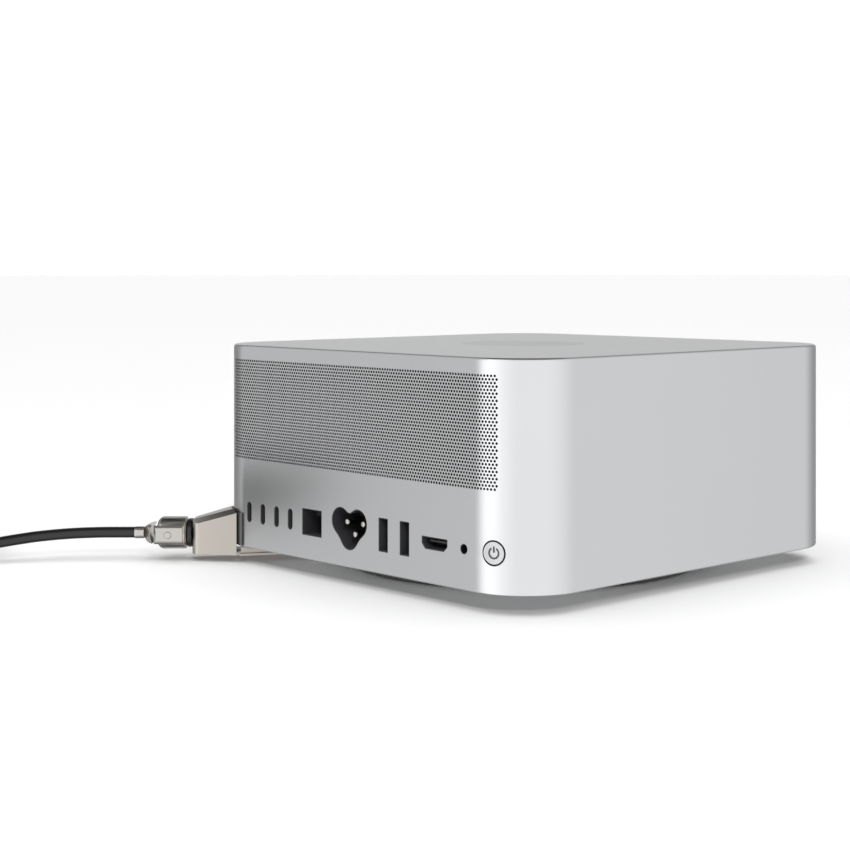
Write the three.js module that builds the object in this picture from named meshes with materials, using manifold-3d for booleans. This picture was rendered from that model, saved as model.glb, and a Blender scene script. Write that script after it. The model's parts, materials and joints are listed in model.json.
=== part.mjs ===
// A small desktop computer with its corner lock bracket and security cable, as named separate solids.
// Millimetres, +Z up. The origin is the centre of the plane that the rubber foot rests on.
// The ports are on the +Y side, the front is the -Y side, and the lock hangs on the +X +Y corner.

import * as THREE from "three";
import { mergeVertices } from "three/addons/utils/BufferGeometryUtils.js";
import Module from "manifold-3d";

const wasm = await Module();
wasm.setup();

// ---- driving dimensions ----

const GAP = 0.3;

const BODY = { half: 98.5, corner: 26.2, bottom: 7.3, top: 95, wall: 3, roof: 3.5 };
const WALL_INSIDE = BODY.half - BODY.wall;
const CORNER_CENTRE = BODY.half - BODY.corner;
const BASE = { radius: 77.7, underside: 1, floor: 2.2, wall: 1.5, top: 10.3, opening: 79.5 };
const FOOT = { inner: 68, outer: 76, height: 1.7 };
const RING = { inner: 69, outer: 88, bottom: 10.6, top: 13.1 };
const BASE_SCREW = { circle: 71.5, shaft: 1.3, head: 2.6, headBottom: 2.3, headTop: 4.1, tip: 12.8 };
const ROUNDEL = { radius: 27, depth: 0.5 };

const PORT_Z = 22.9;
const USB_C = { width: 3.3, height: 8.9, places: [69.3, 59.6, 49.9, 40.4], front: [-72, -58] };
const USB_A = { width: 5.6, height: 13.4, places: [-19.7, -32.4] };
const ETHERNET = { x: 25.7, width: 13, height: 11.1 };
const HDMI = { x: -49.8, width: 14.6, height: 4.9, chamfer: 2 };
const JACK = { x: -66.2, radius: 1.95 };
const INLET = { x: 1.4, lobe: 5.7, spread: 5.45, upper: 25.7, lower: 20.1, pin: 1.55, pinTip: 96.1 };
const CARD = { x: -33, width: 24.6, height: 2.4 };
const LIGHT = { x: 74, radius: 0.8 };

const BUTTON = { turn: THREE.MathUtils.degToRad(18.66), hole: 4.85, cap: 4.4 };

const BOARD = { bottom: 30.6, thick: 1.6, halfX: 88, back: 88, front: -86 };
const SUPPLY = { bottom: 14, thick: 1.6, radius: 62 };
const BLOWER = { bottom: 46.5, top: 90.8, halfX: 82, back: 92, front: -46, wall: 2 };
const FAN = { x: 38, radius: 32, well: 34.5, inlet: 25, low: 51, high: 85, hub: 8, shaft: 2, blades: 9 };

// The lock is drawn in a frame turned by 45 degrees: x runs out along the computer's diagonal.
const ARC_X = CORNER_CENTRE * Math.SQRT2;
const LOCK = { y: 4.5, z: 11.5 };
const BRACKET = { bottom: 3.05, face: 145.6, root: 121, tipHalf: 8.3, rootHalf: 11.2, round: 4 };
const BRACKET_TOP = { rootZ: 24.9, slope: 0.283, chamfer: 1.5, hug: 27.4 };
const SLOT = { width: 3.2, height: 7.4, wall: 2, chamber: 4.6, depth: 4.2 };
const PAD = { inner: 26.45, outer: 27.15, from: -15, to: 41, low: 7.8, high: 22 };
const LEDGE = { bottom: 3.05, sheet: 1, top: 7, start: 123.6, end: 94, half: 11.5, taper: 0.297 };
const TONGUE = { half: 6.4, end: 138, top: 4.45 };
const BRACKET_SCREW = { x: 131, half: 3.1, shaft: 1.2, head: 2.1, headBottom: 3.15, headTop: 3.8, tip: 11 };
const BARREL = { near: 147.9, far: 161.2, radius: 7.15, bore: 4.5, chamfer: 1.3, neck: 1.7 };
const PIVOT_X = 155.7;
const YOKE = { inside: 7.45, outside: 8.95, start: 149.4, nose: 167.9, half: 4.1, clear: 8.6, tip: 4.4 };
const FERRULE = { start: 168.2, end: 171.8, radius: 2.65 };

// The cable: 4.8 mm steel rope in a plastic jacket.
const CABLE_RADIUS = 2.4;
const COIL = { x: 276.7, y: 0, inner: 22.5, outer: 33.5, layers: 4, layerRise: 4.85, floor: 3.2 };
const COIL_SKIN = 2.45;
const TIE = { turn: THREE.MathUtils.degToRad(-70), width: 8, thick: 0.45, slack: 0.9 };
const TOP_RUN_Z = 23;
const CRIMP = { from: 4.1, to: 15.5, y: -2.3, halfWidth: 5.3, halfHeight: 2.9 };

// Route of the lead from the ferrule to the floor beside the coil, in the lock frame.
const LEAD_ROUTE = [
  [172.2, 4.5, 11.5],
  [180, 4.6, 11.5],
  [188.7, 5, 11.45],
  [200.9, 6.5, 11.1],
  [212.6, 9.5, 10.4],
  [220.3, 12, 9.6],
  [227.7, 15, 8.7],
  [236, 18.6, 7.5],
  [244, 22.4, 6.1],
  [252, 26, 4.8],
];

// Route on top of the coil, from where the cable leaves it to the crimp, about the coil's centre.
const TAIL_ROUTE = [
  [24.6, 23.2],
  [28.2, 18.6],
  [30.6, 13.2],
  [31, 7.8],
  [28.9, 2.4],
  [25, -1.8],
  [20.5, -4.2],
  [15.8, -4.8],
];

// The end loop, from the crimp and back into it, about the coil's centre.
const LOOP_ROUTE = [
  [3.2, -4.8],
  [0.8, -5.2],
  [-2.2, -7.2],
  [-7, -12.2],
  [-12.5, -16.7],
  [-19, -17.8],
  [-26.5, -15.6],
  [-32, -9.6],
  [-33.5, -2.3],
  [-32, 5],
  [-26.5, 11],
  [-19, 13.2],
  [-12.5, 12.1],
  [-7, 7.6],
  [-2.2, 2.6],
  [0.8, 0.6],
  [3.2, 0.2],
];

// ---- solids ----

function toManifold(geometry) {
  const bare = geometry.clone();
  bare.deleteAttribute("normal");
  bare.deleteAttribute("uv");
  const merged = mergeVertices(bare, 1e-4);
  const corners = merged.index.array;
  const kept = [];
  for (let i = 0; i < corners.length; i += 3) {
    const [a, b, c] = [corners[i], corners[i + 1], corners[i + 2]];
    if (a !== b && b !== c && c !== a) kept.push(a, b, c);
  }
  const vertProperties = new Float32Array(merged.attributes.position.array);
  const triVerts = new Uint32Array(kept);
  return new wasm.Manifold(new wasm.Mesh({ numProp: 3, vertProperties, triVerts }));
}

function toGeometry(manifold) {
  const mesh = manifold.getMesh();
  const geometry = new THREE.BufferGeometry();
  geometry.setAttribute("position", new THREE.BufferAttribute(mesh.vertProperties, 3));
  geometry.setIndex(new THREE.BufferAttribute(mesh.triVerts, 1));
  return geometry;
}

function join(...parts) {
  return toGeometry(parts.map(toManifold).reduce((whole, part) => whole.add(part)));
}

function cut(base, ...tools) {
  return toGeometry(tools.map(toManifold).reduce((rest, tool) => rest.subtract(tool), toManifold(base)));
}

function common(a, b) {
  return toGeometry(toManifold(a).intersect(toManifold(b)));
}

function block(x0, x1, y0, y1, z0, z1) {
  const geometry = new THREE.BoxGeometry(x1 - x0, y1 - y0, z1 - z0);
  return geometry.translate((x0 + x1) / 2, (y0 + y1) / 2, (z0 + z1) / 2);
}

// A flat outline raised from z0 to z1.
function slab(shape, z0, z1, curveSegments = 4) {
  const settings = { depth: z1 - z0, bevelEnabled: false, curveSegments };
  return new THREE.ExtrudeGeometry(shape, settings).translate(0, 0, z0);
}

// An outline drawn in x and z, run along y from y0 to y1.
function deepSlab(shape, y0, y1, curveSegments = 4) {
  const settings = { depth: y1 - y0, bevelEnabled: false, curveSegments };
  return new THREE.ExtrudeGeometry(shape, settings).rotateX(Math.PI / 2).translate(0, y1, 0);
}

// A turned solid about +Z. The profile lists radius and height, and starts and ends on the axis or closes.
function turned(profile, segments = 24) {
  let area = 0;
  profile.forEach(([r0, z0], i) => {
    const [r1, z1] = profile[(i + 1) % profile.length];
    area += r0 * z1 - r1 * z0;
  });
  const ordered = area > 0 ? profile : [...profile].reverse();
  const points = ordered.map(([r, z]) => new THREE.Vector2(r, z));
  const closed = ordered[0][0] > 0;
  if (closed) points.push(points[0].clone());
  return new THREE.LatheGeometry(points, segments).rotateX(Math.PI / 2);
}

function tube(inner, outer, z0, z1, segments = 24) {
  return turned([[inner, z0], [outer, z0], [outer, z1], [inner, z1]], segments);
}

function rod(radius, z0, z1, segments = 16) {
  return turned([[0, z0], [radius, z0], [radius, z1], [0, z1]], segments);
}

// The same two solids lying along +X at height z and side offset y.
function lying(geometry, y, z) {
  return geometry.rotateY(Math.PI / 2).translate(0, y, z);
}

// A straight pin along y, centred on x and z.
function crossRod(radius, y0, y1, x, z, segments = 16) {
  return rod(radius, y0, y1, segments).rotateX(-Math.PI / 2).translate(x, 0, z);
}

function outline(points) {
  return new THREE.Shape(points.map(([x, y]) => new THREE.Vector2(x, y)));
}

function rectangle(x, y, width, height) {
  const [a, b] = [width / 2, height / 2];
  return outline([[x - a, y - b], [x + a, y - b], [x + a, y + b], [x - a, y + b]]);
}

function roundedSquare(half, radius) {
  const flat = half - radius;
  const shape = new THREE.Shape();
  shape.absarc(flat, flat, radius, 0, Math.PI / 2);
  shape.absarc(-flat, flat, radius, Math.PI / 2, Math.PI);
  shape.absarc(-flat, -flat, radius, Math.PI, Math.PI * 1.5);
  shape.absarc(flat, -flat, radius, Math.PI * 1.5, Math.PI * 2);
  return shape;
}

function upright(x, z, width, height) {
  const radius = width / 2;
  const flat = height / 2 - radius;
  const shape = new THREE.Shape();
  shape.absarc(x, z + flat, radius, 0, Math.PI);
  shape.absarc(x, z - flat, radius, Math.PI, Math.PI * 2);
  return shape;
}

// A round cord along a list of points.
function cordTube(points, radius, steps, sides = 8) {
  const section = new THREE.Shape();
  section.absarc(0, 0, radius, 0, Math.PI * 2);
  const path = new THREE.CatmullRomCurve3(points.map((p) => new THREE.Vector3(...p)));
  return new THREE.ExtrudeGeometry(section, { steps, extrudePath: path, curveSegments: sides / 2 });
}

// ---- scene graph ----

const computer = new THREE.Group();
const lock = new THREE.Group();
lock.rotation.z = Math.PI / 4;
computer.add(lock);

const finish = (color, roughness, metalness) => ({ color, roughness, metalness });
const ALUMINIUM = finish(0xc9cacc, 0.42, 0.9);
const STEEL = finish(0xbfb9b3, 0.35, 0.95);
const CHROME = finish(0xd9d9d9, 0.18, 1);
const BRASS = finish(0xc9b58a, 0.3, 1);
const BLACK_PLASTIC = finish(0x1b1b1d, 0.55, 0);
const RUBBER = finish(0x1a1a1a, 0.8, 0);
const BOARD_GREEN = finish(0x16251d, 0.5, 0);
const CABLE_BLACK = finish(0x1c1c1c, 0.45, 0);
const LAMP = finish(0xe8f2e8, 0.3, 0);

function place(name, geometry, look, parent = computer) {
  const mesh = new THREE.Mesh(toGeometry(toManifold(geometry)), new THREE.MeshStandardMaterial(look));
  mesh.name = name;
  parent.add(mesh);
  return mesh;
}

// ---- casing ----

function cloverleaf(radius, y0, y1) {
  const lobes = [
    [INLET.x + INLET.spread, INLET.upper],
    [INLET.x - INLET.spread, INLET.upper],
    [INLET.x, INLET.lower],
  ];
  return join(...lobes.map(([x, z]) => crossRod(radius, y0, y1, x, z, 20)));
}

function hdmiOutline(grow) {
  const [a, b] = [HDMI.width / 2 + grow, HDMI.height / 2 + grow];
  const c = HDMI.chamfer;
  const [x, z] = [HDMI.x, PORT_Z];
  return outline([[x - a + c, z - b], [x + a - c, z - b], [x + a, z - b + c], [x + a, z + b], [x - a, z + b],
    [x - a, z - b + c]]);
}

function buttonFrame() {
  const frame = new THREE.Group();
  const [sine, cosine] = [Math.sin(BUTTON.turn), Math.cos(BUTTON.turn)];
  frame.position.set(-CORNER_CENTRE - BODY.corner * sine, CORNER_CENTRE + BODY.corner * cosine, PORT_Z);
  frame.rotation.z = BUTTON.turn;
  frame.updateMatrix();
  return frame;
}

function rearHoles(frame) {
  const [inside, outside] = [WALL_INSIDE - 1, BODY.half + 1];
  const mouth = (x) => upright(x, PORT_Z, USB_C.width, USB_C.height);
  const holes = USB_C.places.map((x) => deepSlab(mouth(x), inside, outside));
  USB_A.places.forEach((x) => {
    holes.push(deepSlab(rectangle(x, PORT_Z, USB_A.width, USB_A.height), inside, outside));
  });
  holes.push(deepSlab(rectangle(ETHERNET.x, PORT_Z, ETHERNET.width, ETHERNET.height), inside, outside));
  holes.push(deepSlab(hdmiOutline(0), inside, outside));
  holes.push(crossRod(JACK.radius, inside, outside, JACK.x, PORT_Z, 12));
  holes.push(cloverleaf(INLET.lobe, inside, outside));
  holes.push(crossRod(BUTTON.hole, -6, 2, 0, 0, 20).applyMatrix4(frame.matrix));
  return holes;
}

function frontHoles() {
  const [outside, inside] = [-BODY.half - 1, -WALL_INSIDE + 1];
  const mouth = (x) => upright(x, PORT_Z, USB_C.width, USB_C.height);
  const holes = USB_C.front.map((x) => deepSlab(mouth(x), outside, inside));
  holes.push(deepSlab(rectangle(CARD.x, PORT_Z, CARD.width, CARD.height), outside, inside));
  holes.push(crossRod(LIGHT.radius + GAP, outside, inside, LIGHT.x, PORT_Z, 8));
  return holes;
}

function makeCasing(frame) {
  const shell = slab(roundedSquare(BODY.half, BODY.corner), BODY.bottom, BODY.top);
  const inside = roundedSquare(WALL_INSIDE, BODY.corner - BODY.wall);
  const hollow = slab(inside, BODY.bottom + BODY.wall, BODY.top - BODY.roof);
  const opening = rod(BASE.opening, BODY.bottom - 1, BODY.bottom + BODY.wall + 1, 48);
  const recess = rod(ROUNDEL.radius + GAP, BODY.top - ROUNDEL.depth - GAP, BODY.top + 1, 32);
  place("housing", cut(shell, hollow, opening, recess, ...rearHoles(frame), ...frontHoles()), ALUMINIUM);
  place("top_roundel", rod(ROUNDEL.radius, BODY.top - ROUNDEL.depth, BODY.top, 32), ALUMINIUM);
}

function screwPlaces() {
  return [0, 1, 2, 3].map((i) => {
    const turn = Math.PI / 4 + (i * Math.PI) / 2;
    return [BASE_SCREW.circle * Math.cos(turn), BASE_SCREW.circle * Math.sin(turn)];
  });
}

function makeBase() {
  const { radius, underside, floor, wall, top } = BASE;
  const groove = underside + 1;
  const plate = turned([[0, underside], [FOOT.inner - GAP, underside], [FOOT.inner - GAP, groove],
    [FOOT.outer + GAP, groove], [FOOT.outer + GAP, underside], [radius, underside], [radius, top],
    [radius - wall, top], [radius - wall, underside + floor], [0, underside + floor]], 48);
  const places = screwPlaces();
  const posts = places.map(([x, y]) => rod(4.2, groove + 0.5, top, 12).translate(x, y, 0));
  const holes = places.flatMap(([x, y]) => [
    rod(BASE_SCREW.shaft + GAP, 0, top + 1, 10).translate(x, y, 0),
    rod(BASE_SCREW.head + GAP, 0, BASE_SCREW.headTop + GAP, 12).translate(x, y, 0),
  ]);
  place("base_plate", cut(join(plate, ...posts), ...holes), ALUMINIUM);
  place("foot_ring", tube(FOOT.inner, FOOT.outer, 0, FOOT.height, 48), RUBBER);
  const ringHoles = places.map(([x, y]) => rod(BASE_SCREW.shaft + GAP, 9, 14, 10).translate(x, y, 0));
  place("chassis_ring", cut(tube(RING.inner, RING.outer, RING.bottom, RING.top, 40), ...ringHoles), STEEL);
  places.forEach(([x, y], i) => {
    const { shaft, head, headBottom, headTop, tip } = BASE_SCREW;
    const profile = [[0, headBottom], [head, headBottom], [head, headTop], [shaft, headTop],
      [shaft, tip], [0, tip]];
    place(`base_screw_${i + 1}`, turned(profile, 12).translate(x, y, 0), STEEL);
  });
}

// ---- ports ----

// A connector body behind a wall opening: a block from the wall's inside, with a pocket of the port's shape.
function connector(x, z, width, height, depth, pocket, side = 1) {
  const near = WALL_INSIDE - GAP;
  const shell = side > 0
    ? block(x - width / 2, x + width / 2, near - depth, near, z - height / 2, z + height / 2)
    : block(x - width / 2, x + width / 2, -near, depth - near, z - height / 2, z + height / 2);
  return cut(shell, pocket);
}

function makeRearPorts() {
  const near = WALL_INSIDE;
  USB_C.places.forEach((x, i) => {
    const pocket = deepSlab(upright(x, PORT_Z, USB_C.width, USB_C.height), near - 9, near);
    place(`usb_c_${i + 1}`, connector(x, PORT_Z, 5.6, 10.6, 11, pocket), CHROME);
  });
  USB_A.places.forEach((x, i) => {
    const pocket = deepSlab(rectangle(x, PORT_Z, USB_A.width, USB_A.height), near - 13, near);
    place(`usb_a_${i + 1}`, connector(x, PORT_Z, 7, 14.6, 15, pocket), CHROME);
  });
  const socket = deepSlab(rectangle(ETHERNET.x, PORT_Z, ETHERNET.width, ETHERNET.height), near - 14, near);
  place("ethernet_jack", connector(ETHERNET.x, PORT_Z, 15.6, 13, 17, socket), BLACK_PLASTIC);
  const hdmi = deepSlab(hdmiOutline(0), near - 10, near);
  place("hdmi_port", connector(HDMI.x, PORT_Z, 17, 7.4, 12, hdmi), CHROME);
  const bore = crossRod(JACK.radius, near - 13, near, JACK.x, PORT_Z, 12);
  place("headphone_jack", connector(JACK.x, PORT_Z, 7.6, 8, 15, bore), BLACK_PLASTIC);
}

function makeInlet() {
  const near = WALL_INSIDE - GAP;
  const back = near - 16;
  const { x, upper, lower, pin, pinTip } = INLET;
  const shell = block(x - 13, x + 13, back, near, 13.4, 33);
  const pins = [[x + 5.1, upper - 0.6], [x - 5.1, upper - 0.6], [x, lower + 0.3]];
  const holes = pins.map(([px, pz]) => crossRod(pin + GAP, back - 1, near, px, pz, 12));
  place("power_inlet", cut(shell, cloverleaf(INLET.lobe, back + 2, near + 1), ...holes), BLACK_PLASTIC);
  pins.forEach(([px, pz], i) => place(`inlet_pin_${i + 1}`, crossRod(pin, back, pinTip, px, pz, 12), BRASS));
}

function makeFrontPorts() {
  const near = WALL_INSIDE;
  USB_C.front.forEach((x, i) => {
    const pocket = deepSlab(upright(x, PORT_Z, USB_C.width, USB_C.height), -near, 9 - near);
    place(`front_usb_c_${i + 1}`, connector(x, PORT_Z, 5.6, 10.6, 11, pocket, -1), CHROME);
  });
  const pocket = deepSlab(rectangle(CARD.x, PORT_Z, CARD.width, CARD.height), -near, 26 - near);
  place("card_reader", connector(CARD.x, PORT_Z, 28, 5, 28, pocket, -1), CHROME);
  place("status_light", crossRod(LIGHT.radius, -BODY.half, -WALL_INSIDE + 3, LIGHT.x, PORT_Z, 8), LAMP);
}

// The button is turned about its own axis, which points out of the rounded corner.
function makeButton(frame) {
  computer.add(frame);
  const behind = -BODY.wall - 1;
  const cap = turned([[0, -8], [1.6, -8], [1.6, behind - 1.2], [5.4, behind - 1.2], [5.4, behind],
    [BUTTON.cap, behind], [BUTTON.cap, -0.25], [BUTTON.cap - 0.3, 0.05], [0, -0.1]], 20);
  place("power_button", cap.rotateX(-Math.PI / 2), ALUMINIUM, frame);
  place("switch_plunger", crossRod(1.2, -10.4, -8.3, 0, 0, 10), BLACK_PLASTIC, frame);
  const body = cut(block(-3.2, 3.2, -13.4, -9.2, -3.2, 3.2), crossRod(1.5, -11.6, -9, 0, 0, 10));
  place("power_switch", body, BLACK_PLASTIC, frame);
}

// ---- inside ----

function makeElectronics() {
  const { bottom, thick, halfX, back, front } = BOARD;
  const panel = common(
    block(-halfX, halfX, front, back, bottom, bottom + thick),
    slab(roundedSquare(BODY.half - 8, 24), bottom - 1, bottom + thick + 1),
  );
  const notch = block(INLET.x - 14, INLET.x + 14, back - 14, back + 8, bottom - 1, bottom + thick + 1);
  place("logic_board", cut(panel, notch), BOARD_GREEN);
  const top = bottom + thick + GAP;
  place("processor", block(-22, 22, -22, 22, top, top + 2), CHROME);
  place("storage_module", block(40, 64, -30, 30, top, top + 3.5), BLACK_PLASTIC);
  place("speaker", block(34, 78, -88, -62, top + 2, top + 13), BLACK_PLASTIC);
  const base = top + 2 + GAP;
  const fins = [block(-34, 34, -36, 36, base, base + 3)];
  for (let i = 0; i < 12; i += 1) {
    const x = -32 + i * 5.6;
    fins.push(block(x, x + 1.4, -36, 36, base + 2.5, BLOWER.bottom - 1));
  }
  place("heatsink", join(...fins), ALUMINIUM);
}

function makePowerSupply() {
  const top = SUPPLY.bottom + SUPPLY.thick;
  place("power_supply_board", rod(SUPPLY.radius, SUPPLY.bottom, top, 36), BOARD_GREEN);
  [-18, 18].forEach((x, i) => {
    place(`bulk_capacitor_${i + 1}`, rod(8, top + GAP, 28.5, 16).translate(x, -38, 0), BLACK_PLASTIC);
  });
  place("transformer", block(-17, 17, -12, 18, top + GAP, 28), BLACK_PLASTIC);
}

function makeBlower() {
  const { bottom, top, halfX, back, front, wall } = BLOWER;
  const outside = common(
    block(-halfX, halfX, front, back, bottom, top),
    slab(roundedSquare(BODY.half - 5, 22), bottom - 1, top + 1),
  );
  const channel = block(-halfX + 8, halfX - 8, 4, back + 1, bottom + wall, top - wall);
  const wells = [-FAN.x, FAN.x].map((x) => rod(FAN.well, bottom + wall, top - wall, 28).translate(x, 0, 0));
  const inlets = [-FAN.x, FAN.x].map((x) => rod(FAN.inlet, bottom - 1, bottom + wall + 1, 24)
    .translate(x, 0, 0));
  const posts = [-FAN.x, FAN.x].map((x) => rod(FAN.shaft, FAN.low + 3, top - 1, 12).translate(x, 0, 0));
  place("blower_housing", join(cut(outside, channel, ...wells, ...inlets), ...posts), BLACK_PLASTIC);
}

function makeFan(name, x, hand) {
  const { radius, low, high, hub, shaft, blades } = FAN;
  const parts = [rod(radius, low, low + 1.6, 28), rod(hub, low, high - 4, 16)];
  for (let i = 0; i < blades; i += 1) {
    const blade = block(14, radius - 0.6, -0.7, 0.7, low + 1, high).translate(0, hand * 9, 0);
    parts.push(blade.rotateZ((i * 2 * Math.PI) / blades));
  }
  const bearing = rod(shaft + GAP, low + 2.4, high, 12);
  place(name, cut(join(...parts), bearing).translate(x, 0, 0), BLACK_PLASTIC);
}

// ---- corner bracket and lock ----

// Plan of the bracket: it narrows outward, with rounded outer corners.
function bracketPlan() {
  const { face, root, tipHalf, rootHalf, round } = BRACKET;
  const [y, q] = [LOCK.y, Math.PI / 2];
  const shape = new THREE.Shape();
  shape.moveTo(root, y - rootHalf);
  shape.lineTo(face - round, y - tipHalf);
  shape.absarc(face - round, y - tipHalf + round, round, -q, 0);
  shape.absarc(face - round, y + tipHalf - round, round, 0, q);
  shape.lineTo(root, y + rootHalf);
  return shape;
}

// The sloped roof with a chamfer along both long edges.
function bracketRoof() {
  const { root, rootHalf } = BRACKET;
  const { rootZ, slope, chamfer } = BRACKET_TOP;
  const [half, c] = [rootHalf, chamfer];
  const section = outline([[-half - 1, -40], [half + 1, -40], [half + 1, -c - 1], [half - c, 0],
    [c - half, 0], [-half - 1, -c - 1]]);
  const bar = new THREE.ExtrudeGeometry(section, { depth: 50, bevelEnabled: false });
  const run = bar.rotateX(Math.PI / 2).rotateZ(Math.PI / 2);
  return run.translate(-10, 0, 0).rotateY(Math.atan(slope)).translate(root, LOCK.y, rootZ);
}

function makeBracket() {
  const { bottom, face } = BRACKET;
  const hug = tube(0.5, BRACKET_TOP.hug, -1, 40, 64).translate(ARC_X, 0, 0);
  const core = rod(1, -1, 40, 8).translate(ARC_X, 0, 0);
  const inner = face - SLOT.wall;
  const { y, z } = LOCK;
  const mouth = block(inner - 1, face + 1, y - SLOT.width / 2, y + SLOT.width / 2, z - SLOT.height / 2,
    z + SLOT.height / 2);
  const chamber = lying(rod(SLOT.chamber, inner - SLOT.depth, inner, 20), y, z);
  const pocketHalf = TONGUE.half + GAP;
  const pocket = block(BRACKET.root - 1, TONGUE.end + GAP, y - pocketHalf, y + pocketHalf, bottom - 1,
    TONGUE.top + GAP);
  const screwHoles = [-1, 1].map((side) => rod(BRACKET_SCREW.shaft + GAP, bottom, BRACKET_SCREW.tip + GAP, 10)
    .translate(BRACKET_SCREW.x, y + side * BRACKET_SCREW.half, 0));
  const wedge = common(slab(bracketPlan(), bottom, 30, 3), bracketRoof());
  place("lock_bracket", cut(wedge, hug, core, mouth, chamber, pocket, ...screwHoles), STEEL, lock);
}

function ledgePlan(inset) {
  const { start, end, half, taper } = LEDGE;
  const y = LOCK.y;
  const [a, b] = [half - inset, half - (start - end) * taper - inset];
  return outline([[start, y - a], [start, y + a], [end + inset, y + b], [end + inset, y - b]]);
}

function makeLedge() {
  const { bottom, sheet, top, start } = LEDGE;
  const tongue = block(start - 6, TONGUE.end, LOCK.y - TONGUE.half, LOCK.y + TONGUE.half, bottom, TONGUE.top);
  const plate = join(slab(ledgePlan(0), bottom, bottom + sheet), slab(ledgePlan(0.7), bottom, top), tongue);
  const places = [-1, 1].map((side) => [BRACKET_SCREW.x, LOCK.y + side * BRACKET_SCREW.half]);
  const holes = places.flatMap(([x, y]) => [
    rod(BRACKET_SCREW.shaft + GAP, 0, 12, 10).translate(x, y, 0),
    rod(BRACKET_SCREW.head + GAP, 0, BRACKET_SCREW.headTop + 0.2, 12).translate(x, y, 0),
  ]);
  place("bracket_ledge", cut(plate, ...holes), STEEL, lock);
  places.forEach(([x, y], i) => {
    const { shaft, head, headBottom, headTop, tip } = BRACKET_SCREW;
    const profile = [[0, headBottom], [head, headBottom], [head, headTop], [shaft, headTop],
      [shaft, tip], [0, tip]];
    place(`bracket_screw_${i + 1}`, turned(profile, 12).translate(x, y, 0), STEEL, lock);
  });
  const [from, to] = [PAD.from, PAD.to].map(THREE.MathUtils.degToRad);
  const strip = new THREE.Shape();
  strip.absarc(ARC_X, 0, PAD.outer, from, to);
  strip.absarc(ARC_X, 0, PAD.inner, to, from, true);
  place("bracket_pad", slab(strip, PAD.low, PAD.high, 5), RUBBER, lock);
}

function makeLock() {
  const { y, z } = LOCK;
  const { near, far, radius, bore, chamfer, neck } = BARREL;
  place("lock_collar", lying(tube(3.9, 6.7, BRACKET.face + GAP, near - GAP, 24), y, z), BLACK_PLASTIC, lock);
  const sleeve = lying(turned([[neck, near], [radius - chamfer, near], [radius, near + chamfer],
    [radius, far - chamfer], [radius - chamfer, far], [bore, far], [bore, near + 1.5],
    [neck, near + 1.5]], 24), y, z);
  const sides = [-1, 1];
  const span = (side) => [5.4 * side, 8 * side].sort((a, b) => a - b);
  const sockets = sides.map((side) => crossRod(1.75, ...span(side),
    PIVOT_X, z, 12).translate(0, y, 0));
  place("lock_barrel", cut(sleeve, ...sockets), CHROME, lock);
  const keyway = block(far - 3.6, far + 1, y - 0.6, y + 0.6, z - 2.6, z + 2.6);
  place("key_core", cut(lying(rod(bore - GAP, near + 1.5 + GAP, far - GAP, 20), y, z), keyway), BRASS, lock);
  const wall = BRACKET.face - SLOT.wall;
  const bar = block(wall - 2.6, wall - 0.4, y - 3.5, y + 3.5, z - 1.2, z + 1.2);
  const stem = lying(rod(1.3, wall - 1, near + 1.5, 12), y, z);
  place("lock_tbar", join(bar, stem), STEEL, lock);
  sides.forEach((side, i) => {
    const [a, b] = [5.7 * side, (YOKE.outside + 0.25) * side];
    const pin = crossRod(1.45, Math.min(a, b), Math.max(a, b), PIVOT_X, z, 14).translate(0, y, 0);
    place(`yoke_pin_${i + 1}`, pin, STEEL, lock);
  });
}

// A fork that straddles the barrel and carries the cable on its nose.
function makeYoke() {
  const { y, z } = LOCK;
  const { inside, outside, start, nose, half, clear, tip } = YOKE;
  const side = new THREE.Shape();
  side.moveTo(start, z - half);
  side.absarc(nose - half, z, half, -Math.PI / 2, Math.PI / 2);
  side.lineTo(start, z + half);
  const bar = deepSlab(side, y - outside, y + outside, 5);
  const plan = outline([[start - 1, -outside], [nose - 7, -outside], [nose - 2, -tip - 1.4], [nose + 1, -tip],
    [nose + 1, tip], [nose - 2, tip + 1.4], [nose - 7, outside], [start - 1, outside]]);
  const narrowed = common(bar, slab(plan, 0, 30).translate(0, y, 0));
  const swept = crossRod(clear, -inside, inside, PIVOT_X, z, 32).translate(0, y, 0);
  const pinHoles = crossRod(1.75, -outside - 1, outside + 1, PIVOT_X, z, 14).translate(0, y, 0);
  place("cable_yoke", cut(narrowed, swept, pinHoles), CHROME, lock);
  place("cable_ferrule", lying(rod(FERRULE.radius, FERRULE.start, FERRULE.end, 16), y, z), CHROME, lock);
}

// ---- cable ----

function coilRing(grow) {
  const skin = COIL_SKIN + grow;
  const [low, high] = [COIL.floor - skin, COIL.floor + (COIL.layers - 1) * COIL.layerRise + skin];
  const [inner, outer] = [COIL.inner - skin, COIL.outer + skin];
  const c = 1.2;
  const ring = turned([[inner + c, low], [outer - c, low], [outer, low + c], [outer, high - c],
    [outer - c, high], [inner + c, high], [inner, high - c], [inner, low + c]], 32);
  return ring.translate(COIL.x, COIL.y, 0);
}

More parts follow.
